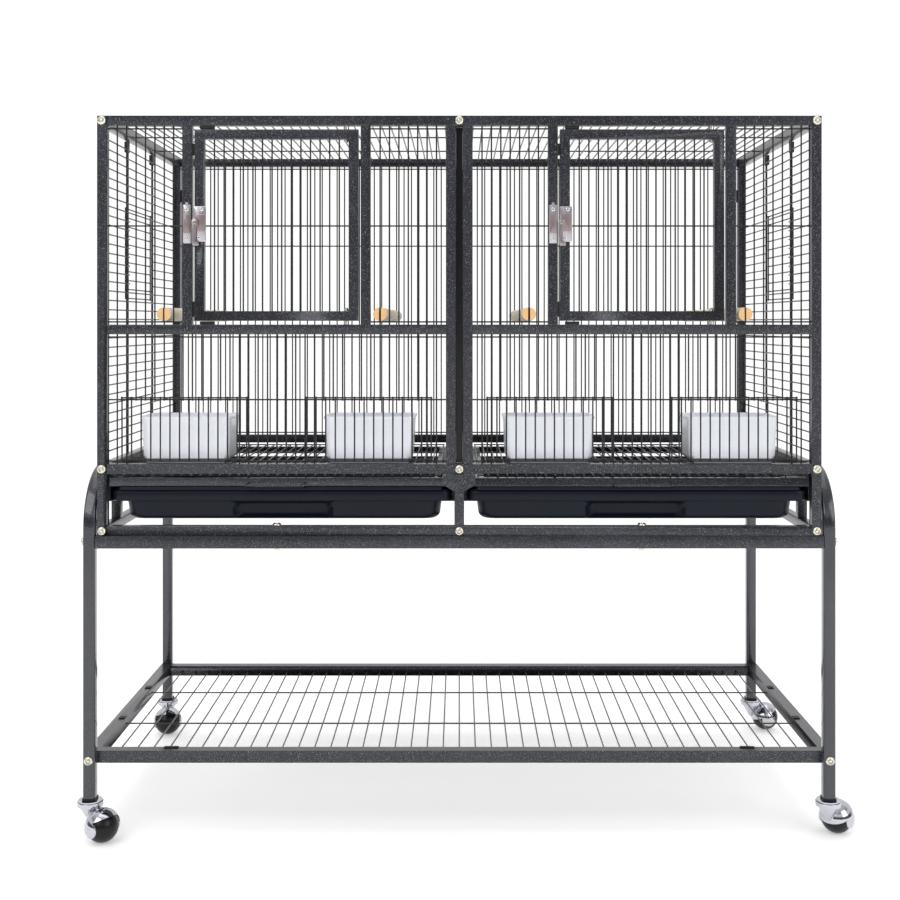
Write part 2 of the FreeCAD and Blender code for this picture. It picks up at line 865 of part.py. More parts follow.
ring_wire = dim["ring_wire"]
ring_play = dim["ring_play"]
gate_plane = front_plane - dim["gate_standoff"]
gate_low = low_top + 6.1
gate_high = feeder_top + 2.6
ring_radius = wire_half + ring_play + ring_wire / 2
feeders = {}
last = len(lower_grid) - 1
for side_name, side in SIDES.items():
    for place_name, (start, stop), shift in (
        ("inner", FEEDER_WIRES, dim["feeder_shift"]),
        ("outer", (last - FEEDER_WIRES[1], last - FEEDER_WIRES[0]), -dim["feeder_shift"]),
    ):
        edges = (side * lower_grid[start], side * lower_grid[stop])
        middle = side * ((lower_grid[start] + lower_grid[stop]) / 2 + shift)
        feeders[f"{place_name}_{side_name}"] = (edges, middle)

for name, (edges, middle) in feeders.items():
    low_x, high_x = around(middle, dim["gate_width"])
    spots = spaced(low_x, high_x, dim["side_pitch"])
    levels = (gate_low, gate_high)
    limits = (gate_low - tail, gate_high + tail)
    mesh = wires("z", "y", gate_plane, "x", spots, limits[0], limits[1], wire_size)
    mesh += wires("x", "y", gate_plane, "z", levels, low_x - tail, high_x + tail, wire_size)
    for level in levels:
        for across in edges:
            mesh.append(ring((across, front_plane, level), ring_radius, ring_wire))
    node(fuse(mesh), f"feeder_gate_{name}")

NEST_TURN = {
    -1: FreeCAD.Rotation(VECTOR(0, 0, 1), 90),
    1: FreeCAD.Rotation(VECTOR(0, 0, 1), -90),
}
hook_radius = dim["rod_size"] / 2 + 0.4 + ring_wire / 2
for side_name, side in SIDES.items():
    plane = side * (rod_plane + dim["nest_standoff"])
    limits = (base + dim["nest_bottom"], base + dim["nest_top"])
    levels = spaced(limits[0], limits[1], dim["side_pitch"])
    ends = (rod_depths[0] - tail, rod_depths[1] + tail)
    mesh = wires("y", "x", plane, "z", levels, ends[0], ends[1], wire_size)
    ends = (limits[0] - tail, limits[1] + tail)
    mesh += wires("z", "x", plane, "y", rod_depths, ends[0], ends[1], wire_size)
    for level in limits:
        for depth in rod_depths:
            at = (side * rod_plane, depth, level)
            mesh.append(ring(at, hook_radius, ring_wire, 180, NEST_TURN[side]))
    node(fuse(mesh), f"nest_gate_{side_name}")


# ---------------------------------------------------------------- feeder cups

def tapered(x_range, y_range, z_range, side_draft, end_draft):
    """A block whose four walls lean in towards its underside."""
    item = doc.addObject("Part::Wedge", "tapered")
    width = x_range[1] - x_range[0]
    depth = y_range[1] - y_range[0]
    height = z_range[1] - z_range[0]
    bind(item, Xmin=side_draft, Xmax=width - side_draft, X2min=0, X2max=width)
    bind(item, Zmin=end_draft, Zmax=depth - end_draft, Z2min=0, Z2max=depth)
    bind(item, Ymin=0, Ymax=height)
    turned = FreeCAD.Rotation(VECTOR(1, 0, 0), VECTOR(0, 0, 1), VECTOR(0, -1, 0), "XYZ")
    place(item, (x_range[0], y_range[1], z_range[0]), turned)
    return item


cup_wall = dim["cup_wall"]
cup_low = low_top + dim["cup_foot"]
cup_high = cup_low + dim["cup_height"]
cup_front = front_plane + ring_radius + ring_wire / 2 + 0.5
cup_y = span(cup_front, dim["cup_depth"])
draft = dim["cup_taper"]
for name, (edges, middle) in feeders.items():
    rim_x = around(middle, dim["cup_width"])
    outer_x = (rim_x[0] + 1.5, rim_x[1] - 1.5)
    inner_x = (outer_x[0] + cup_wall, outer_x[1] - cup_wall)
    inner_y = (cup_y[0] + cup_wall, cup_y[1] - 1.5 - cup_wall)
    shell = fuse([
        tapered(outer_x, (cup_y[0], cup_y[1] - 1.5), (cup_low, cup_high), draft, draft),
        box(rim_x, cup_y, (cup_high - dim["cup_rim"], cup_high)),
        box((outer_x[0] + 8, outer_x[1] - 8), span(cup_y[0], 4.2), (low_top, cup_low + 6)),
    ])
    hollow = tapered(inner_x, inner_y, (cup_low + cup_wall, cup_high), draft, draft)
    node(cut(shell, hollow), f"feeder_cup_{name}")


# ---------------------------------------------------------------- perches

reach = dim["perch_reach"]
perch_y = (front_plane - reach, back_plane + reach)
perch_level = mid_top + edge + wire_half + perch_radius + 0.02
slot = dim["slot_width"]
back_spots = {side: [side * spot for spot in lower_grid[:-1]] for side in SIDES.values()}
for name, (side, post, count) in PERCH_WIRES.items():
    if post == "inner":
        spots = spaced(centre_out, door_near - tube_size, pitch)
        across = side * spots[min(count, len(spots) - 2)]
    else:
        spots = spaced(door_far + tube_size, inside, pitch)
        across = side * spots[-1 - min(count, len(spots) - 2)]
    perch = strand("y", (across, perch_y[0], perch_level), perch_y[1], dim["perch_size"])
    heights = around(perch_level, dim["perch_size"] + 2)
    near_slot = (perch_y[0], front_plane + wire_half + 1)
    perch = cut(perch, box(around(across, slot), near_slot, heights))
    far_slot = (back_plane - wire_half - 1, perch_y[1])
    for spot in back_spots[side]:
        if abs(spot.value - across.value) < perch_radius.value + 1.5:
            perch = cut(perch, box(around(spot, slot), far_slot, heights))
    node(perch, f"perch_{name}")


# ---------------------------------------------------------------- grates and trays

bar = dim["grate_bar"]
grate_y = (front + dim["grate_recess"], back - dim["grate_stop"])
grate_x = (dim["grate_centre_gap"], inside - dim["grate_side_gap"])
handle_wire = dim["handle_wire"]
for side_name, side in SIDES.items():
    x_range = mirrored(side, *grate_x)
    heights = span(grate_low, bar)
    bars = []
    for y_span in (span(grate_y[0], bar), (grate_y[1] - bar, grate_y[1])):
        bars.append(tube("x", x_range, y_span, heights, 1.0))
    for x_span in (span(x_range[0], bar), (x_range[1] - bar, x_range[1])):
        y_span = (grate_y[0] + bar, grate_y[1] - bar)
        bars.append(tube("y", x_span, y_span, heights, 1.0))
    inset = (x_range[0] + 4, x_range[1] - 4)
    depths = [grate_y[0] + bar / 2, *rod_depths, grate_y[1] - bar / 2]
    spots = spaced(inset[0], inset[1], pitch)
    ends = (depths[0] - tail, depths[-1] + tail)
    mesh = wires("y", "z", grate_level, "x", spots, ends[0], ends[1], wire_size)
    ends = (inset[0] - tail, inset[1] + tail)
    mesh += wires("x", "z", grate_level, "y", depths, ends[0], ends[1], wire_size)
    for spot in spots[2::6]:
        for depth in (depths[0], depths[-1]):
            mesh.append(strand("z", (spot, depth, grate_low + bar), grate_level, wire_size))
    middle = (x_range[0] + x_range[1]) / 2
    handle_x = around(middle, dim["handle_width"])
    handle_y = grate_y[0] - dim["handle_reach"] + handle_wire / 2
    level = grate_low + handle_wire
    grip = (handle_x[0] + handle_wire / 2, handle_x[1] - handle_wire / 2)
    handle = [strand("x", (grip[0], handle_y, level), grip[1], handle_wire)]
    for across in handle_x:
        handle.append(fuse([
            strand("y", (across, handle_y, level), grate_y[0], handle_wire),
            ball((across, handle_y, level), handle_wire / 2),
        ]))
    node(group(bars + [fuse(mesh)] + handle), f"grate_{side_name}")

tray_low = base + dim["tray_base"]
tray_wall = dim["tray_wall"]
tray_y = (front + 0.5, back - dim["grate_stop"])
lip_y = (front - dim["tray_lip_reach"], front + 10)
slope = dim["tray_taper"]
tray_x = (dim["tray_centre_gap"], inside - dim["tray_side_gap"])
for side_name, side in SIDES.items():
    rim_x = mirrored(side, *tray_x)
    body_near = tray_x[0] + dim["tray_step_in"]
    body_far = tray_x[1] - dim["tray_step_out"]
    body_x = mirrored(side, body_near, body_far)
    body_y = (tray_y[0] + 2, tray_y[1] - 10)
    lip_x = mirrored(side, body_near - 1.3, body_far + 7)
    inner_x = (body_x[0] + tray_wall, body_x[1] - tray_wall)
    inner_y = (body_y[0] + tray_wall, body_y[1] - tray_wall)
    recess_x = around((body_x[0] + body_x[1]) / 2, dim["recess_width"])
    recess_z = (tray_low + 3.2, rim_low)
    shell = fuse([
        tapered(body_x, body_y, (tray_low, rim_low), slope, slope),
        box(rim_x, tray_y, (rim_low, tray_high - 0.0)),
        box(lip_x, lip_y, (tray_high, tray_high + dim["tray_lip"])),
    ])
    pocket = fuse([
        tapered(inner_x, inner_y, (tray_low + tray_wall, rim_low), slope, slope),
        box(inner_x, inner_y, (rim_low, tray_high + dim["tray_lip"] + 1)),
    ])
    recess_depth = dim["recess_drop"] + slope + 2
    bulge = box((recess_x[0] - tray_wall, recess_x[1] + tray_wall),
                span(tray_y[0], recess_depth + tray_wall),
                (tray_low, recess_z[1] + tray_wall))
    shell = cut(shell, cut(pocket, bulge))
    opening = box(recess_x, (tray_y[0] - 5, tray_y[0] + recess_depth), recess_z)
    node(cut(shell, opening), f"tray_{side_name}")


# ---------------------------------------------------------------- stand

stand_tube = dim["stand_tube"]
stand_wall = dim["stand_wall"]
arch_top = base + dim["arch_top"]
bend_outer = dim["bend_radius"] + stand_tube / 2
bend_inner = dim["bend_radius"] - stand_tube / 2
bend_level = arch_top - bend_outer
BEND_TURN = {
    "front": FreeCAD.Rotation(VECTOR(0, -1, 0), VECTOR(0, 0, 1), VECTOR(-1, 0, 0), "XYZ"),
    "rear": FreeCAD.Rotation(VECTOR(0, 1, 0), VECTOR(0, 0, 1), VECTOR(1, 0, 0), "XYZ"),
}


def quarter(radius, width, at, turned):
    item = doc.addObject("Part::Cylinder", "quarter")
    bind(item, Radius=radius, Height=width, Angle=90)
    place(item, at, turned)
    return item


def bend(row, x_range):
    """A hollow square tube bent through a quarter turn, in the plane of the hoop."""
    turned = BEND_TURN[row]
    middle = stand_front + bend_outer if row == "front" else stand_back - bend_outer
    start = x_range[1] if row == "front" else x_range[0]
    inward = -1 if row == "front" else 1
    at = (start, middle, bend_level)
    bore_at = (start + inward * stand_wall, middle, bend_level)
    width = stand_tube - stand_wall * 2
    solid = cut(quarter(bend_outer, stand_tube, at, turned),
                quarter(bend_inner, stand_tube, at, turned))
    bore = cut(quarter(bend_outer - stand_wall, width, bore_at, turned),
               quarter(bend_inner + stand_wall, width, bore_at, turned))
    return cut(solid, bore)


for side_name, side in SIDES.items():
    x_range = mirrored(side, leg_inner, leg_outer)
    hoop = []
    for row, limits in leg_rows.items():
        middle_y = leg_rows_middle[row]
        holes = [
            rod("y", (side * leg_middle, limits[0], shelf_level), stand_tube, bolt_hole),
            rod("x", (x_range[0], middle_y, rail_level), stand_tube, bolt_hole),
        ]
        upright_z = (dim["leg_foot"], bend_level)
        hoop.append(tube("z", x_range, limits, upright_z, stand_wall, holes))
        hoop.append(bend(row, x_range))
    run = (stand_front + bend_outer, stand_back - bend_outer)
    hoop.append(tube("y", x_range, run, (arch_top - stand_tube, arch_top), stand_wall))
    node(group(hoop), f"stand_side_{side_name}")

for row, label in (("front", "stand_rail_front"), ("rear", "stand_rail_back")):
    holes = []
    for side in SIDES.values():
        spot = (side * dim["clamp_offset"], clamp_row[row], rail_low)
        holes.append(rod("z", spot, stand_tube, bolt_hole))
    x_range = (-leg_inner, leg_inner)
    rail = tube("x", x_range, leg_rows[row], (rail_low, base), stand_wall, holes)
    node(rail, label)

shelf_z = (shelf_low, shelf_high)
shelf_rows = {
    "front": span(stand_front + stand_tube, stand_tube),
    "rear": (stand_back - stand_tube * 2, stand_back - stand_tube),
}
shelf = []
for row, y_span in shelf_rows.items():
    near = y_span[0] if row == "front" else y_span[1] - stand_wall
    holes = [rod("y", (side * leg_middle, near, shelf_level), stand_wall, bolt_hole)
             for side in SIDES.values()]
    x_span = (-leg_outer, leg_outer)
    shelf.append(tube("x", x_span, y_span, shelf_z, stand_wall, holes))
shelf_bay = (shelf_rows["front"][1], shelf_rows["rear"][0])
for side in SIDES.values():
    x_span = mirrored(side, leg_inner, leg_outer)
    shelf.append(tube("y", x_span, shelf_bay, shelf_z, stand_wall))
node(group(shelf), "shelf_frame")

spots = spaced(-leg_inner, leg_inner, dim["shelf_pitch"])[1:-1]
mesh = wires("y", "z", shelf_level, "x", spots, shelf_bay[0], shelf_bay[1], wire_size)
cross_depths = [stand_front + 158, stand_front + 311]
mesh += wires("x", "z", shelf_level, "y", cross_depths, -leg_inner, leg_inner, wire_size)
node(fuse(mesh), "shelf_wires")


# ---------------------------------------------------------------- casters

flange = dim["plug_flange"]
stem = dim["stem_size"]
play = dim["running_play"]
foot = dim["leg_foot"]
washer = 2.0
disc_high = foot - flange - washer - 0.3
disc_low = disc_high - 5.4
wheel_level = dim["wheel_radius"]
trail = dim["caster_trail"]
plugs = []
stems = []
for row, middle_y in leg_rows_middle.items():
    for side in SIDES.values():
        middle_x = side * leg_middle
        insert = stand_tube - stand_wall * 2
        plug = fuse([
            box(around(middle_x, stand_tube + 1), around(middle_y, stand_tube + 1),
                (foot - flange, foot)),
            box(around(middle_x, insert), around(middle_y, insert),
                span(foot, dim["plug_depth"])),
        ])
        bore = rod("z", (middle_x, middle_y, foot - flange), flange + dim["plug_depth"], stem)
        plugs.append(cut(plug, bore))
        stems.append(fuse([
            strand("z", (middle_x, middle_y, disc_low + 1.5), foot + dim["plug_depth"], stem),
            rod("z", (middle_x, middle_y, foot - flange - washer), washer, 30.0),
        ]))
node(group(plugs), "leg_plugs")
node(group(stems), "caster_stems")

ALONG_Y = TURN["y"]


def hood(at, heading):
    """A domed hood over a ball wheel, with its neck, swivel disc and axle."""
    centre = (trail, 0, wheel_level)
    tilt = FreeCAD.Rotation(VECTOR(0, 1, 0), -25)
    cover = doc.addObject("Part::Box", "cover")
    bind(cover, Length=70, Width=60, Height=40)
    lean = math.radians(25)
    shift = dim["hood_edge"]
    corner = (
        trail - shift * math.sin(lean) - 35 * math.cos(lean),
        -30,
        wheel_level + shift * math.cos(lean) - 35 * math.sin(lean),
    )
    place(cover, corner, tilt)
    ears = rod("y", (trail, -30, wheel_level), 60.0, dim["ear_radius"] * 2)
    dome = common(ball(centre, dim["hood_radius"]), fuse([cover, ears]))
    neck = cone((0, 0, wheel_level + 2), 3.0, 14.0, disc_low - wheel_level - 2)
    disc = rod("z", (0, 0, disc_low), disc_high - disc_low, dim["swivel_radius"] * 2)
    body = cut(fuse([dome, neck, disc]), ball(centre, dim["hood_radius"] - dim["hood_wall"]))
    reach_y = dim["hood_radius"] - 0.1
    axle = rod("y", (trail, -reach_y, wheel_level), reach_y * 2, dim["axle_size"])
    bore = rod("z", (0, 0, disc_low + 1.2), 10.0, stem + play * 2)
    item = cut(fuse([body, axle]), bore)
    place(item, at, FreeCAD.Rotation(VECTOR(0, 0, 1), heading))
    return item


def wheel(at, heading):
    """A ball wheel flattened at both ends of its axle."""
    tyre = doc.addObject("Part::Sphere", "tyre")
    bind(tyre, Radius=dim["wheel_radius"], Angle1=-68, Angle2=68)
    place(tyre, (trail, 0, wheel_level), ALONG_Y)
    bore = rod("y", (trail, -25, wheel_level), 50.0, dim["axle_size"] + play * 2)
    item = cut(tyre, bore)
    place(item, at, FreeCAD.Rotation(VECTOR(0, 0, 1), heading))
    return item


for name, heading in CASTER_HEADINGS.items():
    row, side_name = name.split("_")
    at = (SIDES[side_name] * leg_middle, leg_rows_middle[row], 0)
    node(hood(at, heading), f"caster_hood_{name}")
    node(wheel(at, heading), f"caster_wheel_{name}")


# ---------------------------------------------------------------- fasteners and clips

FACING = {
    "front": FreeCAD.Rotation(VECTOR(1, 0, 0), 90),
    "back": FreeCAD.Rotation(VECTOR(1, 0, 0), -90),
    "left": FreeCAD.Rotation(VECTOR(0, 1, 0), -90),
    "right": FreeCAD.Rotation(VECTOR(0, 1, 0), 90),
    "up": FreeCAD.Rotation(),
}


def bolt(at, facing, head_size, grip, nut_side, nut_long):
    """A pan-head bolt whose head faces outward, with its nut at the far end of the grip."""
    head = head_size / 2
    rise = dim["bolt_dome"]
    body = fuse([
        rod("z", (0, 0, 0), 1.6, head * 2),
        cone((0, 0, 1.6), head, head - 1.8, rise - 1.6),
    ])
    body = cut(body, rod("z", (0, 0, rise - 1.4), 2.0, 4.4))
    shank = rod("z", (0, 0, -(grip + nut_long)), grip + nut_long, dim["bolt_size"])
    nut = box(around(zero, nut_side), around(zero, nut_side), (-(grip + nut_long), -grip))
    item = fuse([body, shank, nut])
    place(item, at, FACING[facing])
    return item


bolts = []
cage_head = tube_size - dim["cage_head_margin"]
stand_head = stand_tube - dim["stand_head_margin"]
cage_nut = tube_size - wall * 2
stand_nut = stand_tube - stand_wall * 2
nut_high = dim["nut_height"]
for facing, face in (("front", front), ("back", back)):
    for level in bolt_levels:
        for across in (-(inside + tube_size / 2), zero, inside + tube_size / 2):
            at = (across, face, level)
            bolts.append(bolt(at, facing, cage_head, tube_size, cage_nut, nut_high))
for facing, row in (("front", "front"), ("back", "rear")):
    face = leg_rows[row][0] if row == "front" else leg_rows[row][1]
    for side in SIDES.values():
        at = (side * leg_middle, face, shelf_level)
        bolts.append(bolt(at, facing, stand_head, stand_tube + stand_wall, 8.0, nut_high))
for side_name, side in SIDES.items():
    for row, middle_y in leg_rows_middle.items():
        at = (side * leg_outer, middle_y, rail_level)
        bolts.append(bolt(at, side_name, stand_head, stand_tube, stand_nut, nut_high))
for row, depth in clamp_row.items():
    for side in SIDES.values():
        at = (side * dim["clamp_offset"], depth, base_top)
        grip = tube_size + stand_tube
        bolts.append(bolt(at, "up", cage_head, grip, dim["nut_size"], nut_high))
node(group(bolts), "bolts")

clips = []
clip_y = (front + 1, behind_front)
for low_x, high_x in doors.values():
    clips.append(box(span(low_x + 7, 17.9), clip_y, (under_top - 4.1, under_top)))
    clips.append(box(span(low_x + 7, 17.9), clip_y, (mid_top, mid_top + 4.1)))
    for heights in ((under_top - 38, under_top - 23), (mid_top + 10, mid_top + 30)):
        x_range = (low_x - door_gap, low_x - 0.5)
        clips.append(box(x_range, clip_y, heights))
for side in SIDES.values():
    x_range = mirrored(side, inside - 2.5, inside)
    clips.append(box(x_range, (before_back + 2, back - 2), (under_top - 58, under_top - 38)))
    for depth in cross_depths:
        x_range = mirrored(side, leg_inner, leg_inner + 9)
        clips.append(box(x_range, around(depth, 12), span(shelf_high, 1.4)))
    x_range = around(side * (leg_inner - 93), 19)
    y_range = (shelf_rows["front"][1] - 6, shelf_rows["front"][1])
    clips.append(box(x_range, y_range, span(shelf_high, 1.4)))
node(group(clips), "trim_clips")


# ---------------------------------------------------------------- check and write

doc.recompute()
faults = []
for item in doc.Objects:
    if "Invalid" in item.State or "Error" in item.State:
        faults.append(f"{item.Label}: {item.State}")
for item in sub_parts:
    if item.Shape.isNull() or not item.Shape.isValid():
        faults.append(f"{item.Label}: bad shape")
if len({item.Label for item in sub_parts}) != len(sub_parts):
    faults.append("two sub-parts share a name")
if faults:
    raise RuntimeError("; ".join(faults))
os.makedirs("parts", exist_ok=True)
for item in sub_parts:
    item.Shape.exportStep(f"parts/{item.Label}.step")
    bounds = item.Shape.BoundBox
    print(f"{item.Label}: {len(item.Shape.Solids)} solids, "
          f"x {bounds.XMin:.1f}..{bounds.XMax:.1f}, y {bounds.YMin:.1f}..{bounds.YMax:.1f}, "
          f"z {bounds.ZMin:.1f}..{bounds.ZMax:.1f}")
print(f"{len(sub_parts)} sub-parts written")
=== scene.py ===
import json
import math
import bmesh
import bpy
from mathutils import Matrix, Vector
from mathutils.bvhtree import BVHTree

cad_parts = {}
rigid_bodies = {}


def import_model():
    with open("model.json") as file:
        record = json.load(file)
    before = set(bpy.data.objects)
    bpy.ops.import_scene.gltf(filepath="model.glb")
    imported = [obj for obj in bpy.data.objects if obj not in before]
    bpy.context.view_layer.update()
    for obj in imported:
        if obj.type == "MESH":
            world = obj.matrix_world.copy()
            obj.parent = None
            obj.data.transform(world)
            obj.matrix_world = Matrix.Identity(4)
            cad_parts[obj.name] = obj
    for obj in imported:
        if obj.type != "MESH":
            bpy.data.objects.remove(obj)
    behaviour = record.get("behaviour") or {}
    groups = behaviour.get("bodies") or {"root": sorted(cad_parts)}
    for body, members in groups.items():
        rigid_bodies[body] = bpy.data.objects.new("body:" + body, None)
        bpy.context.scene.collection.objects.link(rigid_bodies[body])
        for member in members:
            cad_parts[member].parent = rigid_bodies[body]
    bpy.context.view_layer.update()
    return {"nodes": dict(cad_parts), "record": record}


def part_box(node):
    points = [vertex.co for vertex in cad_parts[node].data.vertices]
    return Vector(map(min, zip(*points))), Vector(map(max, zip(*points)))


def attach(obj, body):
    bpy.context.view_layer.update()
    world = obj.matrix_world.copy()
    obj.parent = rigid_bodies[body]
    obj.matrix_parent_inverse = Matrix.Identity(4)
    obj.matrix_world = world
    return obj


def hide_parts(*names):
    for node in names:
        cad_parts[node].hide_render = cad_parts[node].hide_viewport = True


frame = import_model()
nodes = frame["nodes"]
bodyOf = {node: body for body, members in frame["record"]["behaviour"]["bodies"].items() for node in members}
print("frame loaded:", len(nodes), "pieces")


# a number on its way through a material, so that sums read as sums
class Num:
    def __init__(self, finish, socket):
        self.finish = finish
        self.socket = socket

    def calc(self, operation, first, second):
        return self.finish.add("ShaderNodeMath", {"operation": operation}, {0: first, 1: second})

    def __add__(self, other):
        return self.calc("ADD", self, other)

    def __radd__(self, other):
        return self.calc("ADD", other, self)

    def __sub__(self, other):
        return self.calc("SUBTRACT", self, other)

    def __rsub__(self, other):
        return self.calc("SUBTRACT", other, self)

    def __mul__(self, other):
        return self.calc("MULTIPLY", self, other)

    def __rmul__(self, other):
        return self.calc("MULTIPLY", other, self)

    def __pow__(self, other):
        return self.calc("POWER", self, other)

    def __abs__(self):
        return self.calc("ABSOLUTE", self, 0)

    def above(self, limit, softness):
        ramp = {"clamp": True, "interpolation_type": "SMOOTHSTEP"}
        sockets = {0: self, 1: limit, 2: limit + softness, 3: 0.0, 4: 1.0}
        return self.finish.add("ShaderNodeMapRange", ramp, sockets)


class Finish:
    def __init__(self, name, **fixed):
        self.material = bpy.data.materials.new(name)
        self.material.use_nodes = True
        self.tree = self.material.node_tree
        self.tree.nodes.clear()
        self.shader = self.tree.nodes.new("ShaderNodeBsdfPrincipled")
        end = self.tree.nodes.new("ShaderNodeOutputMaterial")
        self.tree.links.new(self.shader.outputs[0], end.inputs[0])
        for key, value in fixed.items():
            self.set(key, value)

    def add(self, kind, settings, sockets, output=0):
        node = self.tree.nodes.new(kind)
        for key, value in settings.items():
            setattr(node, key, value)
        for key, value in sockets.items():
            if isinstance(value, Num):
                self.tree.links.new(value.socket, node.inputs[key])
            else:
                node.inputs[key].default_value = value
        return Num(self, node.outputs[output])

    def set(self, key, value):
        socket = self.shader.inputs[key.replace("_", " ")]
        if isinstance(value, Num):
            self.tree.links.new(value.socket, socket)
        else:
            socket.default_value = value

    def place(self, at=(0, 0, 0), scale=(1, 1, 1)):
        here = self.add("ShaderNodeTexCoord", {}, {}, "Object")
        return self.add("ShaderNodeMapping", {}, {"Vector": here, "Location": at, "Scale": scale})

    def noise(self, where, scale, detail=2.0, rough=0.5):
        sockets = {"Vector": where, "Scale": scale, "Detail": detail, "Roughness": rough}
        return self.add("ShaderNodeTexNoise", {}, sockets)

    def cells(self, where, scale):
        return self.add("ShaderNodeTexVoronoi", {}, {"Vector": where, "Scale": scale})

    def part(self, vector, letter):
        return self.add("ShaderNodeSeparateXYZ", {}, {0: vector}, letter)

    def mix(self, amount, first, second):
        sockets = {0: amount, 6: first, 7: second}
        return self.add("ShaderNodeMix", {"data_type": "RGBA"}, sockets, 2)

    def bump(self, height, strength, distance):
        sockets = {"Height": height, "Strength": strength, "Distance": distance}
        self.set("Normal", self.add("ShaderNodeBump", {}, sockets))


def rgb(red, green, blue):
    return (red, green, blue, 1.0)


coatFinish = {
    "dark": rgb(0.0035, 0.004, 0.0065), "light": rgb(0.036, 0.039, 0.051), "fleck": rgb(0.34, 0.35, 0.38),
    "grainScale": 900.0, "fleckScale": 840.0, "dimpleScale": 620.0, "grainSpread": 3.2,
}


def hammeredCoat(name, shine=0.0, rough=0.32):
    c = coatFinish
    f = Finish(name, Metallic=0.35, Coat_Roughness=0.10, Coat_Weight=0.4 + shine)
    where = f.place()
    clouds = f.noise(where, 11.0, 4.0)
    grain = f.noise(where, c["grainScale"], 3.0, 0.7)
    flecks = f.noise(f.place(at=(0.37, 0.11, 0.73)), c["fleckScale"], 3.0, 0.75)
    dimples = f.cells(where, c["dimpleScale"])
    tone = f.mix((grain - 0.5) * c["grainSpread"] + clouds, c["dark"], c["light"])
    f.set("Base_Color", f.mix(flecks.above(0.60, 0.06) * (1 - shine), tone, c["fleck"]))
    f.set("Roughness", rough - 0.06 + clouds * 0.10 + grain * 0.10)
    f.bump(dimples * 0.9 + grain * 0.7, 0.22, 0.0005)
    return f.material


def wireCoat(name):
    f = Finish(name, Metallic=0.3, Coat_Weight=0.4, Coat_Roughness=0.12, Specular_IOR_Level=0.25)
    where = f.place()
    grain = f.noise(where, 1100.0, 2.0)
    clouds = f.noise(where, 14.0, 3.0)
    f.set("Base_Color", f.mix(grain * 1.4 + clouds * 0.5 - 0.5, rgb(0.004, 0.004, 0.005), rgb(0.026, 0.026, 0.030)))
    f.set("Roughness", 0.32 + grain * 0.18)
    f.bump(grain, 0.15, 0.0002)
    return f.material


def mouldedPlastic(name, dark, light, rough, grainScale, depth, coat=0.0, gloss=0.5):
    f = Finish(name, Coat_Weight=coat, Coat_Roughness=0.15, Specular_IOR_Level=gloss)
    where = f.place()
    grain = f.noise(where, grainScale, 3.0, 0.6)
    clouds = f.noise(where, 7.0, 3.0)
    f.set("Base_Color", f.mix(clouds * 0.8 + grain * 0.3 - 0.1, dark, light))
    f.set("Roughness", rough + clouds * 0.08 + grain * 0.06)
    f.bump(grain, depth, 0.0003)
    return f.material


def brightMetal(name, colour, rough, brushed):
    f = Finish(name, Metallic=1.0)
    where = f.place(scale=brushed)
    streaks = f.noise(where, 260.0, 3.0, 0.6)
    smudge = f.noise(f.place(), 45.0, 3.0)
    dull = tuple(channel * 0.82 for channel in colour[:3]) + (1.0,)
    f.set("Base_Color", f.mix(streaks * 0.5 + smudge * 0.5, dull, colour))
    f.set("Roughness", rough + smudge * 0.07 + streaks * 0.05)
    f.bump(streaks, 0.05, 0.0002)
    return f.material


def turnedWood(name, centre):
    f = Finish(name, Coat_Weight=0.05, Coat_Roughness=0.4)
    where = f.place(at=(-centre[0], 0, -centre[2]))
    long = f.place(at=(-centre[0], 0, -centre[2]), scale=(1, 0.06, 1))
    fibre = f.noise(long, 620.0, 4.0, 0.65)
    broad = f.noise(long, 90.0, 3.0)
    across = f.part(where, "X")
    up = f.part(where, "Z")
    radius = (across * across + up * up) ** 0.5
    rings = f.add("ShaderNodeMath", {"operation": "SINE"}, {0: radius * 5200.0 + broad * 5.0})
    side = f.mix(fibre * 0.6 + broad * 0.4, rgb(0.78, 0.66, 0.47), rgb(0.95, 0.88, 0.72))
    endGrain = f.mix(rings * 0.25 + fibre * 0.5, rgb(0.80, 0.50, 0.24), rgb(0.62, 0.33, 0.12))
    facing = f.part(f.add("ShaderNodeNewGeometry", {}, {}, "Normal"), "Y")
    f.set("Base_Color", f.mix(abs(facing).above(0.6, 0.2), side, endGrain))
    f.set("Roughness", 0.52 + fibre * 0.15)
    f.bump(fibre + rings * 0.1, 0.25, 0.0003)
    return f.material


def hardRubber(name):
    f = Finish(name, Specular_IOR_Level=0.3)
    where = f.place()
    grain = f.noise(where, 800.0, 2.0)
    scuff = f.noise(where, 60.0, 4.0, 0.7)
    f.set("Base_Color", f.mix(scuff.above(0.55, 0.25) * 0.6, rgb(0.004, 0.004, 0.005), rgb(0.016, 0.016, 0.016)))
    f.set("Roughness", 0.22 + scuff * 0.15)
    f.bump(grain, 0.1, 0.0002)
    return f.material


tubeCoat = hammeredCoat("hammeredTubeCoat")
hoopCoat = hammeredCoat("hammeredHoopCoat", 0.55, 0.14)
wirePaint = wireCoat("wireCoat")
sheetCoat = hammeredCoat("runnerSheetCoat")
cupWhite = mouldedPlastic("whiteCupPlastic", rgb(0.86, 0.89, 0.97), rgb(0.95, 0.96, 0.99), 0.22, 500.0, 0.03, 0.3)
trayBlack = mouldedPlastic(
    "trayBlackPlastic", rgb(0.003, 0.004, 0.009), rgb(0.007, 0.010, 0.019), 0.30, 900.0, 0.05, 0.04, 0.16)
clipBlack = mouldedPlastic(
    "clipBlackPlastic", rgb(0.006, 0.006, 0.007), rgb(0.02, 0.02, 0.022), 0.42, 900.0, 0.10, 0.0, 0.3)
nickel = brightMetal("nickelPlate", rgb(0.84, 0.81, 0.70), 0.20, (1, 1, 0.15))
latchSteel = brightMetal("latchPlate", rgb(0.66, 0.64, 0.66), 0.22, (0.2, 1, 1))
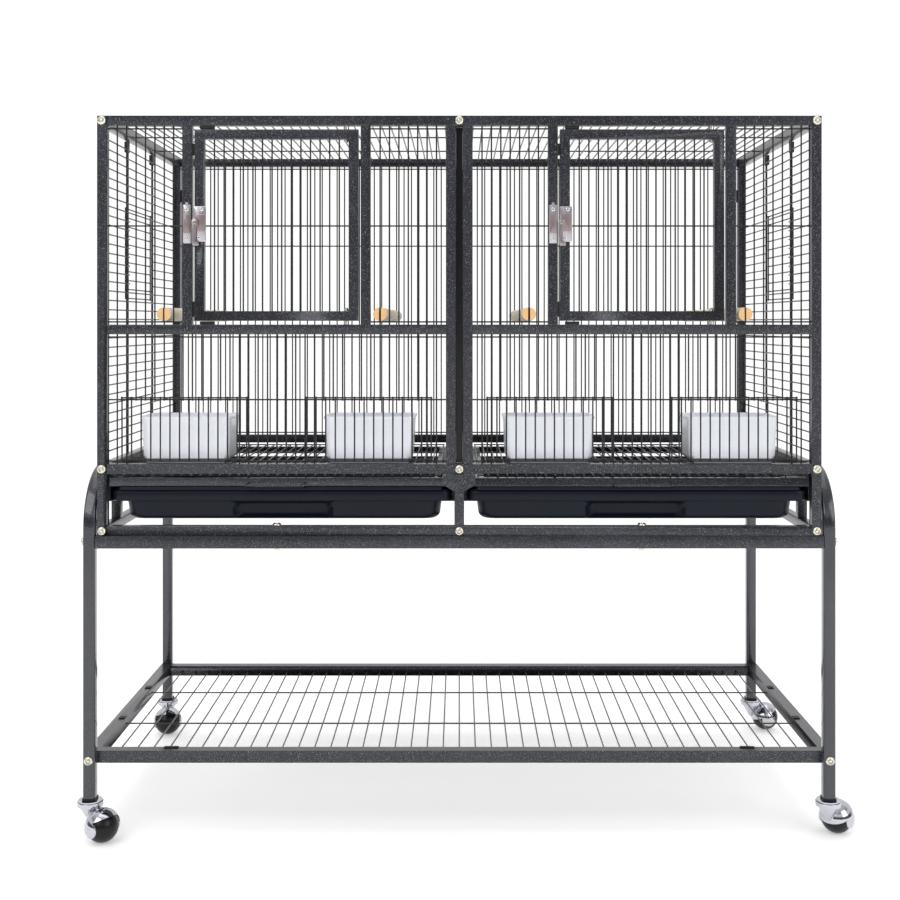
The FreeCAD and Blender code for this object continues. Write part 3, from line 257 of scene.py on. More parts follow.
# the strap's darker brownish tint is a painted reflection held in the metal's base colour
strapSteelPaintedReflection = brightMetal("latchStrapPaintedReflection", rgb(0.40, 0.31, 0.32), 0.30, (0.2, 1, 1))
screwSteel = brightMetal("latchScrews", rgb(0.88, 0.87, 0.89), 0.18, (1, 1, 1))
# the lever's darker brownish tint is a painted reflection held in the metal's base colour; the pivot rivet shares it
leverSteelPaintedReflection = brightMetal("latchLever", rgb(0.46, 0.41, 0.41), 0.24, (1, 1, 0.2))
chrome = brightMetal("casterChrome", rgb(0.60, 0.61, 0.66), 0.05, (1, 1, 1))
rubber = hardRubber("wheelRubber")
slotFinish = {
    "frame_tube": tubeCoat, "wire": wirePaint, "runner_sheet": sheetCoat, "cup_plastic": cupWhite,
    "tray_plastic": trayBlack, "black_plastic": clipBlack, "nickel": nickel, "chrome": chrome, "wheel_rubber": rubber,
}
print("finishes ready")


def dress(obj, material):
    obj.data.materials.clear()
    obj.data.materials.append(material)


for entry in frame["record"]["subparts"]:
    name = entry["node"]
    if name.startswith("perch"):
        low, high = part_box(name)
        dress(nodes[name], turnedWood(name + "Wood", (low + high) / 2))
    elif name.startswith("latch"):
        dress(nodes[name], latchSteel)
    elif name.startswith("stand_side"):
        dress(nodes[name], hoopCoat)
    else:
        dress(nodes[name], slotFinish[entry["material_slot"]])
print("frame pieces finished")


# ---- making pieces
def finishMesh(name, mesh, material, body, replaced=(), smooth=35):
    mesh.materials.clear()
    mesh.materials.append(material)
    for face in mesh.polygons:
        face.material_index = 0
    mesh.shade_smooth()
    mesh.set_sharp_from_angle(angle=math.radians(smooth))
    obj = bpy.data.objects.new(name, mesh)
    bpy.context.scene.collection.objects.link(obj)
    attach(obj, body)
    if replaced:
        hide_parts(*replaced)
    return obj


def meshFrom(bm, name):
    mesh = bpy.data.meshes.new(name)
    bm.to_mesh(mesh)
    bm.free()
    return mesh


def cleanCopy(node):
    bm = bmesh.new()
    bm.from_mesh(nodes[node].data)
    bmesh.ops.remove_doubles(bm, verts=bm.verts, dist=0.000002)
    bmesh.ops.dissolve_limit(bm, angle_limit=math.radians(0.4), verts=bm.verts, edges=bm.edges)
    return bm


# square tube has a small radius along its length; small pieces are rounded on every edge
softEdge = {
    "tubeRadius": 0.0011, "grateRadius": 0.0008, "longEdge": 0.030, "turn": 60,
    "perch": (0.0005, 50), "hood": (0.0004, 45), "plastic": (0.0006, 60),
}


def softened(node, material, width, turn, longerThan=0.0):
    bm = cleanCopy(node)
    skin = BVHTree.FromBMesh(bm)
    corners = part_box(node)
    limit = math.radians(turn)
    chosen = [edge for edge in bm.edges
              if len(edge.link_faces) == 2 and edge.is_convex
              and edge.calc_length() > longerThan and edge.calc_face_angle(0) > limit]
    bmesh.ops.bevel(bm, geom=chosen, offset=width, segments=2, profile=0.6, affect="EDGES", clamp_overlap=True)
    # where a rounded edge ends, it can stand out from the piece, so it goes back to the skin and into the box
    for vert in bm.verts:
        spot, normal, _, _ = skin.find_nearest(vert.co)
        if (vert.co - spot).dot(normal) > 0.00001:
            vert.co = spot
        vert.co = [min(max(value, bottom), top) for value, bottom, top in zip(vert.co, *corners)]
    return finishMesh(node + "Soft", meshFrom(bm, node + "Soft"), material, bodyOf[node], (node,))


tubeNodes = ["front_frame", "back_frame", "side_frame_left", "side_frame_right", "centre_rails", "door_frame_left",
             "door_frame_right", "stand_rail_front", "stand_rail_back", "shelf_frame"]
for node in tubeNodes:
    softened(node, tubeCoat, softEdge["tubeRadius"], softEdge["turn"], softEdge["longEdge"])
for node in ("grate_left", "grate_right"):
    softened(node, tubeCoat, softEdge["grateRadius"], softEdge["turn"], softEdge["longEdge"])
print("frame tubes rounded")


class TreeMaker:
    def __init__(self, name, inputs):
        self.group = bpy.data.node_groups.new(name, "GeometryNodeTree")
        self.keys = {}
        for key, kind in inputs.items():
            socket = self.group.interface.new_socket(key, in_out="INPUT", socket_type="NodeSocket" + kind)
            self.keys[key] = socket.identifier
        self.group.interface.new_socket("Geometry", in_out="OUTPUT", socket_type="NodeSocketGeometry")
        self.start = self.group.nodes.new("NodeGroupInput")
        self.end = self.group.nodes.new("NodeGroupOutput")

    def given(self, key):
        return self.start.outputs[key]

    def add(self, kind, settings, sockets, output=0):
        node = self.group.nodes.new("GeometryNode" + kind)
        for key, value in settings.items():
            setattr(node, key, value)
        for key, value in sockets.items():
            if isinstance(value, bpy.types.NodeSocket):
                self.group.links.new(value, node.inputs[key])
            else:
                node.inputs[key].default_value = value
        return node.outputs[output]

    def close(self, geometry):
        real = self.add("RealizeInstances", {}, {0: geometry})
        painted = self.add("SetMaterial", {}, {"Geometry": real, "Material": self.given("Material")})
        self.group.links.new(painted, self.end.inputs[0])

    def grow(self, name, seed, values):
        obj = bpy.data.objects.new(name, seed)
        bpy.context.scene.collection.objects.link(obj)
        modifier = obj.modifiers.new("grow", "NODES")
        modifier.node_group = self.group
        for key, value in values.items():
            modifier[self.keys[key]] = value
        shown = obj.evaluated_get(bpy.context.evaluated_depsgraph_get())
        mesh = bpy.data.meshes.new_from_object(shown)
        mesh.name = name
        bpy.data.objects.remove(obj)
        return mesh


# ---- stand hoops: one tube bent twice
hoopSize = {"tube": 0.0159, "bend": 0.07205, "edge": 0.0030, "steps": 12}
hoopTree = TreeMaker("bentSquareTube", {
    "Geometry": "Geometry", "Tube": "Float", "Bend": "Float", "Edge": "Float", "Steps": "Int",
    "Material": "Material"})
path = hoopTree.add("MeshToCurve", {}, {0: hoopTree.given("Geometry")})
path = hoopTree.add("FilletCurve", {"mode": "POLY"}, {
    "Curve": path, "Count": hoopTree.given("Steps"), "Radius": hoopTree.given("Bend"), "Limit Radius": True})
outline = hoopTree.add("CurvePrimitiveQuadrilateral", {"mode": "RECTANGLE"}, {
    "Width": hoopTree.given("Tube"), "Height": hoopTree.given("Tube")})
outline = hoopTree.add("FilletCurve", {"mode": "POLY"}, {
    "Curve": outline, "Count": 3, "Radius": hoopTree.given("Edge"), "Limit Radius": True})
hoopTree.close(hoopTree.add("CurveToMesh", {}, {"Curve": path, "Profile Curve": outline, "Fill Caps": True}))

for side in ("left", "right"):
    node = "stand_side_" + side
    low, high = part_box(node)
    half = hoopSize["tube"] / 2
    x = (low.x + high.x) / 2
    seed = bpy.data.meshes.new("hoopPath")
    points = [(x, low.y + half, low.z), (x, low.y + half, high.z - half),
              (x, high.y - half, high.z - half), (x, high.y - half, low.z)]
    seed.from_pydata(points, [(0, 1), (1, 2), (2, 3)], [])
    mesh = hoopTree.grow(node + "Hoop", seed, {
        "Tube": hoopSize["tube"], "Bend": hoopSize["bend"], "Edge": hoopSize["edge"],
        "Steps": hoopSize["steps"], "Material": hoopCoat})
    bm = bmesh.new()
    bm.from_mesh(mesh)
    bmesh.ops.remove_doubles(bm, verts=bm.verts, dist=0.00001)
    bmesh.ops.recalc_face_normals(bm, faces=bm.faces)
    bm.to_mesh(mesh)
    bm.free()
    finishMesh(node + "Hoop", mesh, hoopCoat, bodyOf[node], (node,))
print("stand hoops bent")


# ---- bolts: a head turned once, then set out on every hole
def turned(profile, steps):
    bm = bmesh.new()
    rings = []
    for radius, up in profile:
        if radius == 0:
            rings.append([bm.verts.new((0, 0, up))])
            continue
        angles = [math.tau * step / steps for step in range(steps)]
        rings.append([bm.verts.new((radius * math.cos(a), radius * math.sin(a), up)) for a in angles])
    for first, second in zip(rings, rings[1:]):
        for step in range(steps):
            following = (step + 1) % steps
            corners = [first[step % len(first)], first[following % len(first)],
                       second[following % len(second)], second[step % len(second)]]
            unique = list(dict.fromkeys(corners))
            if len(unique) > 2:
                bm.faces.new(unique)
    bmesh.ops.recalc_face_normals(bm, faces=bm.faces)
    return bm


fastener = {
    "head": [(0, 0), (5.5, 0), (5.8, 0.5), (5.75, 1.3), (5.3, 2.3), (4.5, 3.0), (3.9, 3.3), (3.5, 3.2),
             (3.1, 2.4), (2.9, 1.2), (2.3, 1.0), (2.1, 1.6), (1.7, 2.2), (0.9, 2.5), (0, 2.55)],
    "nut": [(0, 0), (3.7, 0), (4.0, 0.4), (4.0, 3.6), (3.7, 4.0), (0, 4.0)],
    "screw": [(0, 0), (2.6, 0), (2.6, 0.3), (2.4, 0.7), (2.0, 1.0), (1.75, 1.1), (1.5, 1.16), (1.1, 1.2), (0.7, 1.2),
              (0.35, 1.2), (0, 1.2)],
    "rivet": [(0, 0), (3.7, 0), (3.7, 0.5), (3.2, 0.76), (1.2, 0.78), (0, 0.78)],
    "cross": {"arm": 0.44, "reach": 1.7, "depth": 0.7},
}


def fastenerMesh(kind, steps):
    bm = turned([(radius / 1000, up / 1000) for radius, up in fastener[kind]], steps)
    cross = {key: value / 1000 for key, value in fastener["cross"].items()}
    for vert in bm.verts:
        inArm = min(abs(vert.co.x), abs(vert.co.y)) < cross["arm"] and vert.co.xy.length < cross["reach"]
        if kind == "screw" and inArm and vert.co.z > cross["depth"]:
            vert.co.z -= cross["depth"]
    return meshFrom(bm, kind + "Master")


setOut = TreeMaker("fastenersOnPoints", {"Geometry": "Geometry", "Piece": "Object", "Material": "Material"})
turn = setOut.add("InputNamedAttribute", {"data_type": "FLOAT_VECTOR"}, {"Name": "turn"})
piece = setOut.add("ObjectInfo", {"transform_space": "ORIGINAL"}, {"Object": setOut.given("Piece")}, "Geometry")
setOut.close(setOut.add("InstanceOnPoints", {}, {
    "Points": setOut.given("Geometry"), "Instance": piece, "Rotation": turn}))
facing = {"front": (math.pi / 2, 0, 0), "back": (-math.pi / 2, 0, 0), "left": (0, -math.pi / 2, 0),
          "right": (0, math.pi / 2, 0), "up": (0, 0, 0), "down": (math.pi, 0, 0)}


def fastenersAt(name, kind, steps, spots, material):
    master = bpy.data.objects.new(kind + "Master", fastenerMesh(kind, steps))
    bpy.context.scene.collection.objects.link(master)
    seed = bpy.data.meshes.new(name + "Points")
    seed.from_pydata([at for at, towards in spots], [], [])
    turns = seed.attributes.new("turn", "FLOAT_VECTOR", "POINT")
    for index, (at, towards) in enumerate(spots):
        turns.data[index].vector = facing[towards] if isinstance(towards, str) else towards
    mesh = setOut.grow(name, seed, {"Piece": master, "Material": material})
    bpy.data.objects.remove(master)
    return mesh


def joined(name, meshes):
    bm = bmesh.new()
    for mesh in meshes:
        bm.from_mesh(mesh)
    return meshFrom(bm, name)


cageLow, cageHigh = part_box("front_frame")
backLow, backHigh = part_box("back_frame")
shelfLow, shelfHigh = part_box("shelf_frame")
railLow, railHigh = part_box("stand_rail_front")
rearLow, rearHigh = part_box("stand_rail_back")
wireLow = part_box("front_wires")[0]
hoopLow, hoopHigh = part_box("stand_side_right")
cageSize = {"tube": 0.0127, "depth": 0.4572}
tube = cageSize["tube"]
boltPlan = {
    "across": (-cageHigh.x + tube / 2, 0.0, cageHigh.x - tube / 2),
    "up": (cageHigh.z - tube / 2, wireLow.z - tube / 2, cageLow.z + tube / 2),
    "clampX": 0.2375,
}
frontFace = backLow.y + tube - cageSize["depth"]
heads = []
for x in boltPlan["across"]:
    for z in boltPlan["up"]:
        heads.append(((x, frontFace, z), "front"))
        heads.append(((x, backHigh.y, z), "back"))
legX = (hoopLow.x + hoopHigh.x) / 2
shelfZ = (shelfLow.z + shelfHigh.z) / 2
nuts = []
for sign, side in ((-1, "left"), (1, "right")):
    heads.append(((sign * legX, hoopLow.y, shelfZ), "front"))
    heads.append(((sign * legX, hoopHigh.y, shelfZ), "back"))
    for low, high, cageEdge in ((railLow, railHigh, frontFace), (rearLow, rearHigh, backHigh.y)):
        heads.append(((sign * hoopHigh.x, (low.y + high.y) / 2, (low.z + high.z) / 2), side))
        inner = high.y if low is railLow else low.y
        spot = (sign * boltPlan["clampX"], (cageEdge + inner) / 2)
        heads.append(((*spot, cageLow.z + tube), "up"))
        nuts.append(((*spot, low.z), "down"))
boltMesh = joined("boltsSetOut", [
    fastenersAt("boltHeads", "head", 28, heads, nickel), fastenersAt("clampNuts", "nut", 6, nuts, nickel)])
finishMesh("boltsSetOut", boltMesh, nickel, "cage", ("bolts",), 28)
print("bolts set out:", len(heads))


# ---- moulded pieces: loops of a rounded outline, joined one to the next
def ringOutline(x, y, radius, z, counts=(6, 56, 10)):
    corner, front, rest = counts
    radius = max(radius, 0.0004)
    centres = [(x[0] + radius, y[0] + radius, 180), (x[1] - radius, y[0] + radius, 270),
               (x[1] - radius, y[1] - radius, 0), (x[0] + radius, y[1] - radius, 90)]
    points = []
    for index, (cx, cy, start) in enumerate(centres):
        arc = [math.radians(start + 90 * step / corner) for step in range(corner + 1)]
        points += [Vector((cx + radius * math.cos(a), cy + radius * math.sin(a), z)) for a in arc]
        nx, ny, nextStart = centres[(index + 1) % 4]
        a = math.radians(nextStart)
        target = Vector((nx + radius * math.cos(a), ny + radius * math.sin(a), z))
        steps = front if index == 0 else rest
        last = points[-1]
        points += [last.lerp(target, step / steps) for step in range(1, steps)]
    return points


def lofted(loops):
    bm = bmesh.new()
    rows = [[bm.verts.new(point) for point in loop] for loop in loops]
    count = len(rows[0])
    for first, second in zip(rows, rows[1:]):
        for step in range(count):
            following = (step + 1) % count
            bm.faces.new((first[step], first[following], second[following], second[step]))
    bm.faces.new(list(reversed(rows[0])))
    bm.faces.new(rows[-1])
    bmesh.ops.recalc_face_normals(bm, faces=bm.faces)
    return bm


def smoothStep(value, low, high):
    t = min(1.0, max(0.0, (value - low) / (high - low)))
    return t * t * (3 - 2 * t)


traySize = {
    "wall": 0.0022, "rim": 0.0144, "lip": 0.0046, "stepIn": 0.0122, "stepOut": 0.0166, "taper": 0.003,
    "corner": 0.022, "foot": 0.0074, "recess": 0.1195, "recessDepth": 0.012, "recessEdge": 0.006,
    "frontGap": 0.003, "frontIn": 0.002, "backIn": 0.010, "rimCorner": 0.012,
    "lipDeep": 0.0125, "lipNear": 0.0013, "lipFar": 0.007, "lipCorner": 0.005, "lipEdge": 0.0022,
}


def trayMesh(side, low, high):
    t = traySize
    sign = -1 if side == "left" else 1
    near, far = (low.x, high.x) if sign > 0 else (-high.x, -low.x)
    top = high.z - t["lip"]
    rimLow = top - t["rim"]
    y0, y1 = low.y + t["frontGap"], high.y
    bodyNear, bodyFar = near + t["stepIn"], far - t["stepOut"]
    bodyY = (y0 + t["frontIn"], y1 - t["backIn"])
    middle = (bodyNear + bodyFar) / 2

    def loop(xNear, xFar, yNear, yFar, radius, z):
        x = (xNear, xFar) if sign > 0 else (-xFar, -xNear)
        return ringOutline(x, (yNear, yFar), radius, z)

    def wallLoop(z, inset):
        lean = t["taper"] * (rimLow - z) / (rimLow - low.z) + inset
        return loop(bodyNear + lean, bodyFar - lean, bodyY[0] + lean, bodyY[1] - lean, t["corner"] - inset, z)

    foot = t["foot"]
    loops = [wallLoop(low.z, foot * 1.6)]
    for step in range(6):
        a = math.radians(90 * step / 5)
        loops.append(wallLoop(low.z + foot * (1 - math.cos(a)), foot * (1 - math.sin(a))))
    for share in (0.4, 0.6, 0.8, 0.93):
        loops.append(wallLoop(low.z + (rimLow - low.z) * share, 0))
    loops.append(wallLoop(rimLow, 0))
    for inset, z in ((0.0012, rimLow), (0, rimLow + 0.0012), (0, top - 0.003), (0.0009, top - 0.0009), (0.003, top)):
        loops.append(loop(near + inset, far - inset, y0 + inset, y1 - inset, t["rimCorner"], z))
    wall = t["wall"]
    loops.append(wallLoop(rimLow, wall - 0.0006))
    for point in loops[-1]:
        point.z = top
    loops.append([point - Vector((0, 0, 0.0010)) for point in wallLoop(rimLow, wall)])
    for point in loops[-1]:
        point.z = top - 0.001
    for share in (1.0, 0.8, 0.6, 0.45):
        loops.append(wallLoop(low.z + wall + (rimLow - low.z - wall) * share, wall))
    for step in range(5, -1, -1):
        a = math.radians(90 * step / 5)
        loops.append(wallLoop(low.z + wall + foot * (1 - math.cos(a)), wall + foot * (1 - math.sin(a))))
    loops.append(wallLoop(low.z + wall, foot * 2))
    for points in loops:
        for point in points:
            if point.y > bodyY[0] + 0.018:
                continue
            aside = abs(abs(point.x) - middle)
            blend = (t["recess"] / 2 - t["recessEdge"] / 2, t["recess"] / 2 + t["recessEdge"] / 2)
            across = 1 - smoothStep(aside, *blend)
            down = 1 - smoothStep(point.z, rimLow - 0.0035, rimLow - 0.0002)
            up = smoothStep(point.z, low.z + 0.0012, low.z + 0.0040)
            point.y += t["recessDepth"] * across * down * up
    bm = lofted(loops)
    lipY = (low.y, low.y + t["lipDeep"])
    lipX = (bodyNear - t["lipNear"], bodyFar + t["lipFar"])
    edge = t["lipEdge"]
    ends = []
    for inset, z in ((edge * 0.6, top - 0.0002), (0, top + 0.0012), (0, high.z - 0.0018),
                     (0.0006, high.z - 0.0006), (edge, high.z)):
        x = (lipX[0] + inset, lipX[1] - inset)
        x = x if sign > 0 else (-x[1], -x[0])
        ends.append(ringOutline(x, (lipY[0] + inset, lipY[1] - inset), t["lipCorner"] - inset / 2, z, (5, 12, 4)))
    bm.from_mesh(meshFrom(lofted(ends), "trayLip"))
    return meshFrom(bm, "tray_" + side + "Moulded")


for side in ("left", "right"):
    node = "tray_" + side
    low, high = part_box(node)
    mesh = trayMesh(side, low, high)
    finishMesh(node + "Moulded", mesh, trayBlack, bodyOf[node], (node,), 50)
print("trays moulded")


cupSize = {
    "wall": 0.0022, "draft": 0.0025, "rim": 0.0035, "stepOut": 0.0015, "corner": 0.008, "rimCorner": 0.0095,
    "foot": 0.005, "stand": 0.0044, "standIn": 0.008,
}


def cupMesh(low, high, name):
    c = cupSize
    floorZ = low.z + c["stand"]
    x = (low.x + c["stepOut"], high.x - c["stepOut"])
    y = (low.y, high.y - c["stepOut"])

    def wallLoop(z, inset):
        lean = c["draft"] * (high.z - z) / (high.z - floorZ) + inset
        return ringOutline((x[0] + lean, x[1] - lean), (y[0] + lean, y[1] - lean), c["corner"] - inset, z, (6, 10, 6))

    foot = c["foot"]
    loops = [wallLoop(floorZ, foot * 1.5)]
    for step in range(5):
        a = math.radians(90 * step / 4)
        loops.append(wallLoop(floorZ + foot * (1 - math.cos(a)), foot * (1 - math.sin(a))))
    rimZ = high.z - c["rim"]
    loops.append(wallLoop(rimZ - 0.0004, 0))
    for inset, z in ((0.0004, rimZ), (0, rimZ + 0.0006), (0, high.z - 0.001),
                     (0.0004, high.z - 0.0003), (0.0012, high.z)):
        rimX, rimY = (low.x + inset, high.x - inset), (low.y + inset, high.y - inset)
        loops.append(ringOutline(rimX, rimY, c["rimCorner"], z, (6, 10, 6)))
    wall = c["wall"]
    loops.append(wallLoop(high.z, wall - 0.0008))
    loops.append(wallLoop(high.z - 0.0008, wall))
    for step in range(4, -1, -1):
        a = math.radians(90 * step / 4)
        loops.append(wallLoop(floorZ + wall + foot * (1 - math.cos(a)), wall + foot * (1 - math.sin(a))))
    loops.append(wallLoop(floorZ + wall, foot * 1.8))
    bm = lofted(loops)
    feet = []
    for inset, z in ((0.0008, low.z), (0, low.z + 0.0008), (0, floorZ + 0.003)):
        across = (x[0] + c["standIn"] + inset, x[1] - c["standIn"] - inset)
        feet.append(ringOutline(across, (low.y + 0.0002 + inset, low.y + 0.0042 - inset), 0.0012, z, (3, 6, 3)))
    bm.from_mesh(meshFrom(lofted(feet), "cupFoot"))
    return meshFrom(bm, name)


for node in [name for name in nodes if name.startswith("feeder_cup")]:
    low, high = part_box(node)
    mesh = cupMesh(low, high, node + "Moulded")
    finishMesh(node + "Moulded", mesh, cupWhite, bodyOf[node], (node,), 50)
print("cups moulded")


# ---- latches, in millimetres: keeper on the post, plate and lever on the door
latchSize = {
    "sheet": 1.2, "keeperMiddle": -9.35, "keeper": (10.4, 50.0), "keeperStrap": (8.6, 24.0), "strapRise": 3.1,
    "nub": (4.0, 3.0), "keeperScrew": 19.0, "plate": (-1.2, 15.4), "plateHeight": 46.0,
    "plateStrap": (1.2, 14.2, -9.4, 12.4), "plateStrapRise": 2.2, "screws": ((9.6, 19.0), (6.3, -18.0)),
    "pivot": (1.5, 2.0), "pivotShare": 0.72, "leverFront": 5.0, "leverBack": 3.4, "corner": 1.4, "edge": 0.35,
}
leverOutline = [(-2.9, 2.4), (-2.4, 4.8), (-0.9, 6.3), (1.6, 7.0), (4.1, 6.3), (5.7, 4.8), (6.2, 2.4), (6.2, -1.5),
                (3.2, -4.2), (3.0, -21.0), (7.0, -24.4), (7.0, -28.2), (-0.4, -28.5), (-2.9, -24.0)]


def pressed(outline, at, near, far, corner, edge):
    bm = bmesh.new()
    verts = [bm.verts.new((at[0] + x / 1000, far, at[1] + z / 1000)) for x, z in outline]
    face = bm.faces.new(verts)
    grown = bmesh.ops.extrude_face_region(bm, geom=[face])["geom"]
    for item in grown:
        if isinstance(item, bmesh.types.BMVert):
            item.co.y = near
    bmesh.ops.recalc_face_normals(bm, faces=bm.faces)
    if corner:
        deep = [line for line in bm.edges if abs(line.verts[0].co.y - line.verts[1].co.y) > abs(near - far) / 2]
        bmesh.ops.bevel(bm, geom=deep, offset=corner / 1000, segments=4, profile=0.5, affect="EDGES",
                        clamp_overlap=True)
    rim = [line for line in bm.edges
           if all(abs(vert.co.y - near) < 1e-6 for vert in line.verts) and line.calc_face_angle(0) > 0.6]
    bmesh.ops.bevel(bm, geom=rim, offset=edge / 1000, segments=2, profile=0.6, affect="EDGES", clamp_overlap=True)
    return meshFrom(bm, "pressed")


def slab(low, high, bottom, top):
    return [(low, bottom), (high, bottom), (high, top), (low, top)]


keeperPlates, keeperStraps, keeperScrews = [], [], []
for side in ("left", "right"):
    t = latchSize
    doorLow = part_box("door_frame_" + side)[0]
    plateLow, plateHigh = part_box("latch_plate_" + side)
    at = (doorLow.x, (plateLow.z + plateHigh.z) / 2)
    face = doorLow.y
    sheet = t["sheet"] / 1000
    middle = t["keeperMiddle"]
    wide, tall = t["keeper"]
    keeperPlates.append(pressed(slab(middle - wide / 2, middle + wide / 2, -tall / 2, tall / 2), at,
                                face - sheet, face, t["corner"], t["edge"]))
    nubWide, nubTall = t["nub"]
    nub = slab(middle - nubWide / 2, middle + nubWide / 2, tall / 2 - 1, tall / 2 + nubTall)
    keeperPlates.append(pressed(nub, at, face - sheet, face, 1.6, t["edge"]))
    wide, tall = t["keeperStrap"]
    keeperStraps.append(pressed(slab(middle - wide / 2, middle + wide / 2, -tall / 2, tall / 2), at,
                                face - t["strapRise"] / 1000, face - sheet, 0.5, 0.9))
    for up in (1, -1):
        spot = (at[0] + middle / 1000, face - sheet, at[1] + up * t["keeperScrew"] / 1000)
        keeperScrews.append((spot, "front"))
    half = t["plateHeight"] / 2
    plate = pressed(slab(*t["plate"], -half, half), at, face - sheet, face, 2.4, t["edge"])
    finishMesh("latchDoorPlate_" + side, plate, latchSteel, "door_" + side, ("latch_plate_" + side,))
    low, high, bottom, top = t["plateStrap"]
    strap = pressed(slab(low, high, bottom, top), at, face - t["plateStrapRise"] / 1000, face - sheet, 0.8, 0.6)
    finishMesh("latchDoorStrap_" + side, strap, strapSteelPaintedReflection, "door_" + side, ())
    spots = [((at[0] + x / 1000, face - sheet, at[1] + z / 1000), "front") for x, z in t["screws"]]
    pin = (at[0] + t["pivot"][0] / 1000, face - t["leverFront"] / 1000, at[1] + t["pivot"][1] / 1000)
    screws = fastenersAt("latchScrews_" + side, "screw", 32, spots, screwSteel)
    finishMesh("latchScrews_" + side, screws, screwSteel, "door_" + side, ())
    rivet = fastenersAt("latchPivot_" + side, "rivet", 20, [(pin, "front")], leverSteelPaintedReflection)
    for vert in rivet.vertices:
        vert.co = Vector(pin) + (vert.co - Vector(pin)) * t["pivotShare"]
    finishMesh("latchPivot_" + side, rivet, leverSteelPaintedReflection, "door_" + side, ())
    lever = pressed(leverOutline, at, face - t["leverFront"] / 1000, face - t["leverBack"] / 1000, 0, 0.45)
    node = "latch_lever_" + side
    finishMesh("latchLever_" + side, lever, leverSteelPaintedReflection, bodyOf[node], (node,))
plates = joined("latchKeeperPlates", keeperPlates)
finishMesh("latchKeeperPlates", plates, latchSteel, "cage", ("latch_keepers",))
straps = joined("latchKeeperStraps", keeperStraps)
finishMesh("latchKeeperStraps", straps, strapSteelPaintedReflection, "cage", ())
screws = fastenersAt("latchKeeperScrews", "screw", 32, keeperScrews, screwSteel)
finishMesh("latchKeeperScrews", screws, screwSteel, "cage", ())
print("latches pressed")

# ---- axle rivets on the caster hoods
rivetOut = 0.02205  # from the wheel's middle to the foot of the head
for joint in frame["record"]["behaviour"]["joints"]:
    if not joint["name"].startswith("wheel_"):
        continue
    axle = Vector(joint["axis"]).normalized()
    spots = []
    for way in (axle, -axle):
        at = Vector(joint["pos_m"]) + way * rivetOut
        spots.append((tuple(at), tuple(way.to_track_quat("Z", "Y").to_euler())))
    rivets = fastenersAt(joint["name"] + "Rivets", "rivet", 20, spots, chrome)
    finishMesh("axleRivets_" + joint["parent"], rivets, chrome, joint["parent"], ())

for node in [name for name in nodes if name.startswith("perch")]:
    softened(node, nodes[node].data.materials[0], *softEdge["perch"])
for node in [name for name in nodes if name.startswith("caster_hood")]:
    softened(node, chrome, *softEdge["hood"])
for node in ("leg_plugs", "trim_clips"):
    softened(node, clipBlack, *softEdge["plastic"])
print("small pieces softened")


# ---- light, floor and camera
studio = {"sky": 0.9, "seen": 1.05, "key": 34.0, "fill": 20.0, "floor": 0.95, "lift": 0.36}


def softBox(name, at, towards, size, power):
    lamp = bpy.data.lights.new(name, "AREA")
    lamp.shape = "RECTANGLE"
    lamp.size, lamp.size_y = size
    lamp.energy = power
    obj = bpy.data.objects.new(name, lamp)
    bpy.context.scene.collection.objects.link(obj)
    obj.location = at
    obj.rotation_euler = (Vector(towards) - Vector(at)).to_track_quat("-Z", "Y").to_euler()


softBox("keyLight", (-1.6, -2.4, 2.6), (0, 0, 0.5), (2.2, 2.2), studio["key"])
softBox("fillLight", (2.2, -2.0, 1.6), (0, 0, 0.5), (1.8, 1.8), studio["fill"])
softBox("topLight", (0, 0.4, 3.2), (0, 0, 0.4), (3.0, 3.0), studio["fill"])

world = bpy.data.worlds.new("studioSky")
world.use_nodes = True
skyTree = world.node_tree
skyTree.nodes.clear()


def skyNode(kind, settings=(), **sockets):
    node = skyTree.nodes.new(kind)
    for key, value in dict(settings).items():
        setattr(node, key, value)
    for key, value in sockets.items():
        socket = node.inputs[int(key[1:]) if key[1:].isdigit() else key]
        if isinstance(value, bpy.types.NodeSocket):
            skyTree.links.new(value, socket)
        else:
            socket.default_value = value
    return node


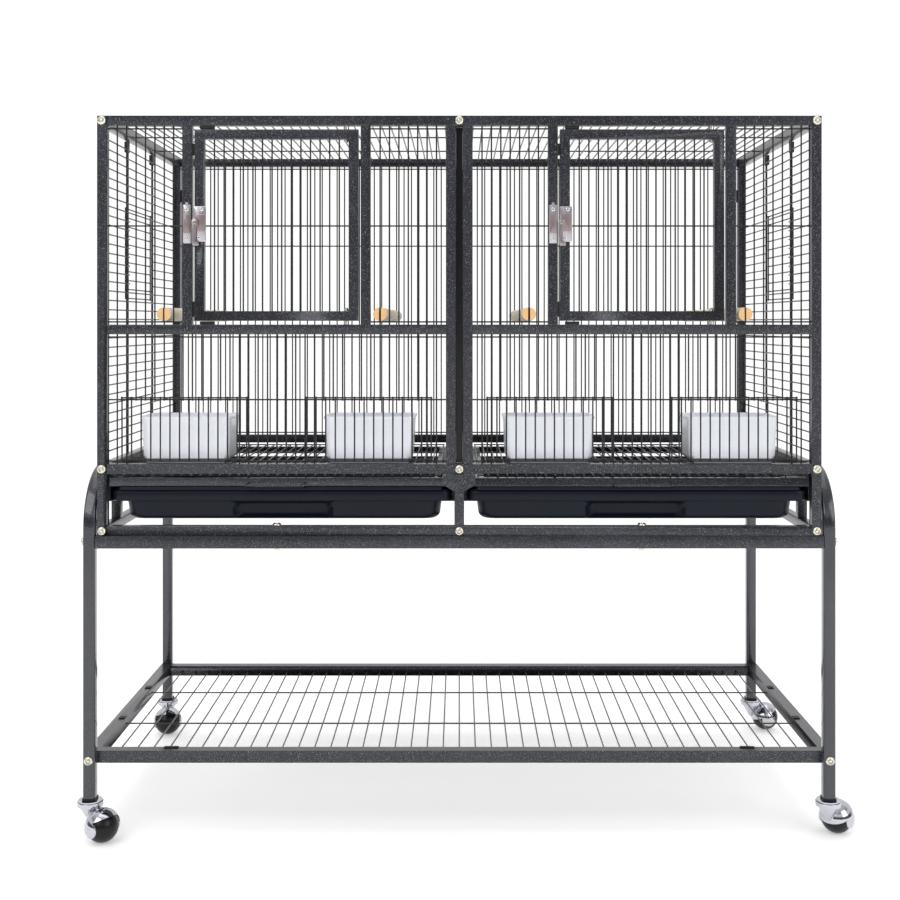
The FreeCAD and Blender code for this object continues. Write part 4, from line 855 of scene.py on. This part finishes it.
coords = skyNode("ShaderNodeTexCoord").outputs["Generated"]
towards = skyNode("ShaderNodeSeparateXYZ", _0=coords).outputs
room = skyNode("ShaderNodeValToRGB", _0=towards["Z"])
stops = room.color_ramp.elements
stops[0].position, stops[0].color = 0.0, rgb(0.55, 0.55, 0.56)
stops[1].position, stops[1].color = 1.0, rgb(1.0, 1.0, 1.0)
for position, grey in ((0.02, 0.12), (0.24, 0.10), (0.30, 0.9), (0.5, 0.95), (0.60, 0.35)):
    stop = stops.new(position)
    stop.color = rgb(grey, grey, grey * 1.02)
behind = skyNode("ShaderNodeMapRange", {"interpolation_type": "SMOOTHSTEP"}, _0=towards["Y"], _1=-0.05, _2=0.35)
room = skyNode("ShaderNodeMix", {"data_type": "RGBA"}, _0=behind.outputs[0], _6=room.outputs[0], _7=rgb(1, 1, 1))
lit = skyNode("ShaderNodeBackground", _0=room.outputs[2], _1=studio["sky"])
seen = skyNode("ShaderNodeBackground", _0=rgb(1, 1, 1), _1=studio["seen"])
rays = skyNode("ShaderNodeLightPath").outputs["Is Camera Ray"]
both = skyNode("ShaderNodeMixShader", _0=rays, _1=lit.outputs[0], _2=seen.outputs[0])
skyNode("ShaderNodeOutputWorld", _0=both.outputs[0])
bpy.context.scene.world = world
bpy.context.scene.view_settings.view_transform = "Standard"

floorMesh = bpy.data.meshes.new("studioFloor")
floorMesh.from_pydata([(-20, -20, 0), (20, -20, 0), (20, 20, 0), (-20, 20, 0)], [], [(0, 1, 2, 3)])
floor = bpy.data.objects.new("studioFloor", floorMesh)
bpy.context.scene.collection.objects.link(floor)
white = rgb(studio["floor"], studio["floor"], studio["floor"])
paper = Finish("paperFloor", Roughness=0.7, Base_Color=white, Emission_Color=white, Emission_Strength=studio["lift"])
floorMesh.materials.append(paper.material)

eye = {"at": (0.0, -1.918, 0.669), "lens": 52.04, "shift": (-0.0103, -0.141)}
lensData = bpy.data.cameras.new("camera")
lensData.sensor_width = 36.0
lensData.lens = eye["lens"]
lensData.shift_x, lensData.shift_y = eye["shift"]
camera = bpy.data.objects.new("camera", lensData)
camera.location = eye["at"]
camera.rotation_euler = (math.radians(90), 0, 0)
bpy.context.scene.collection.objects.link(camera)
bpy.context.scene.camera = camera
print("studio ready")
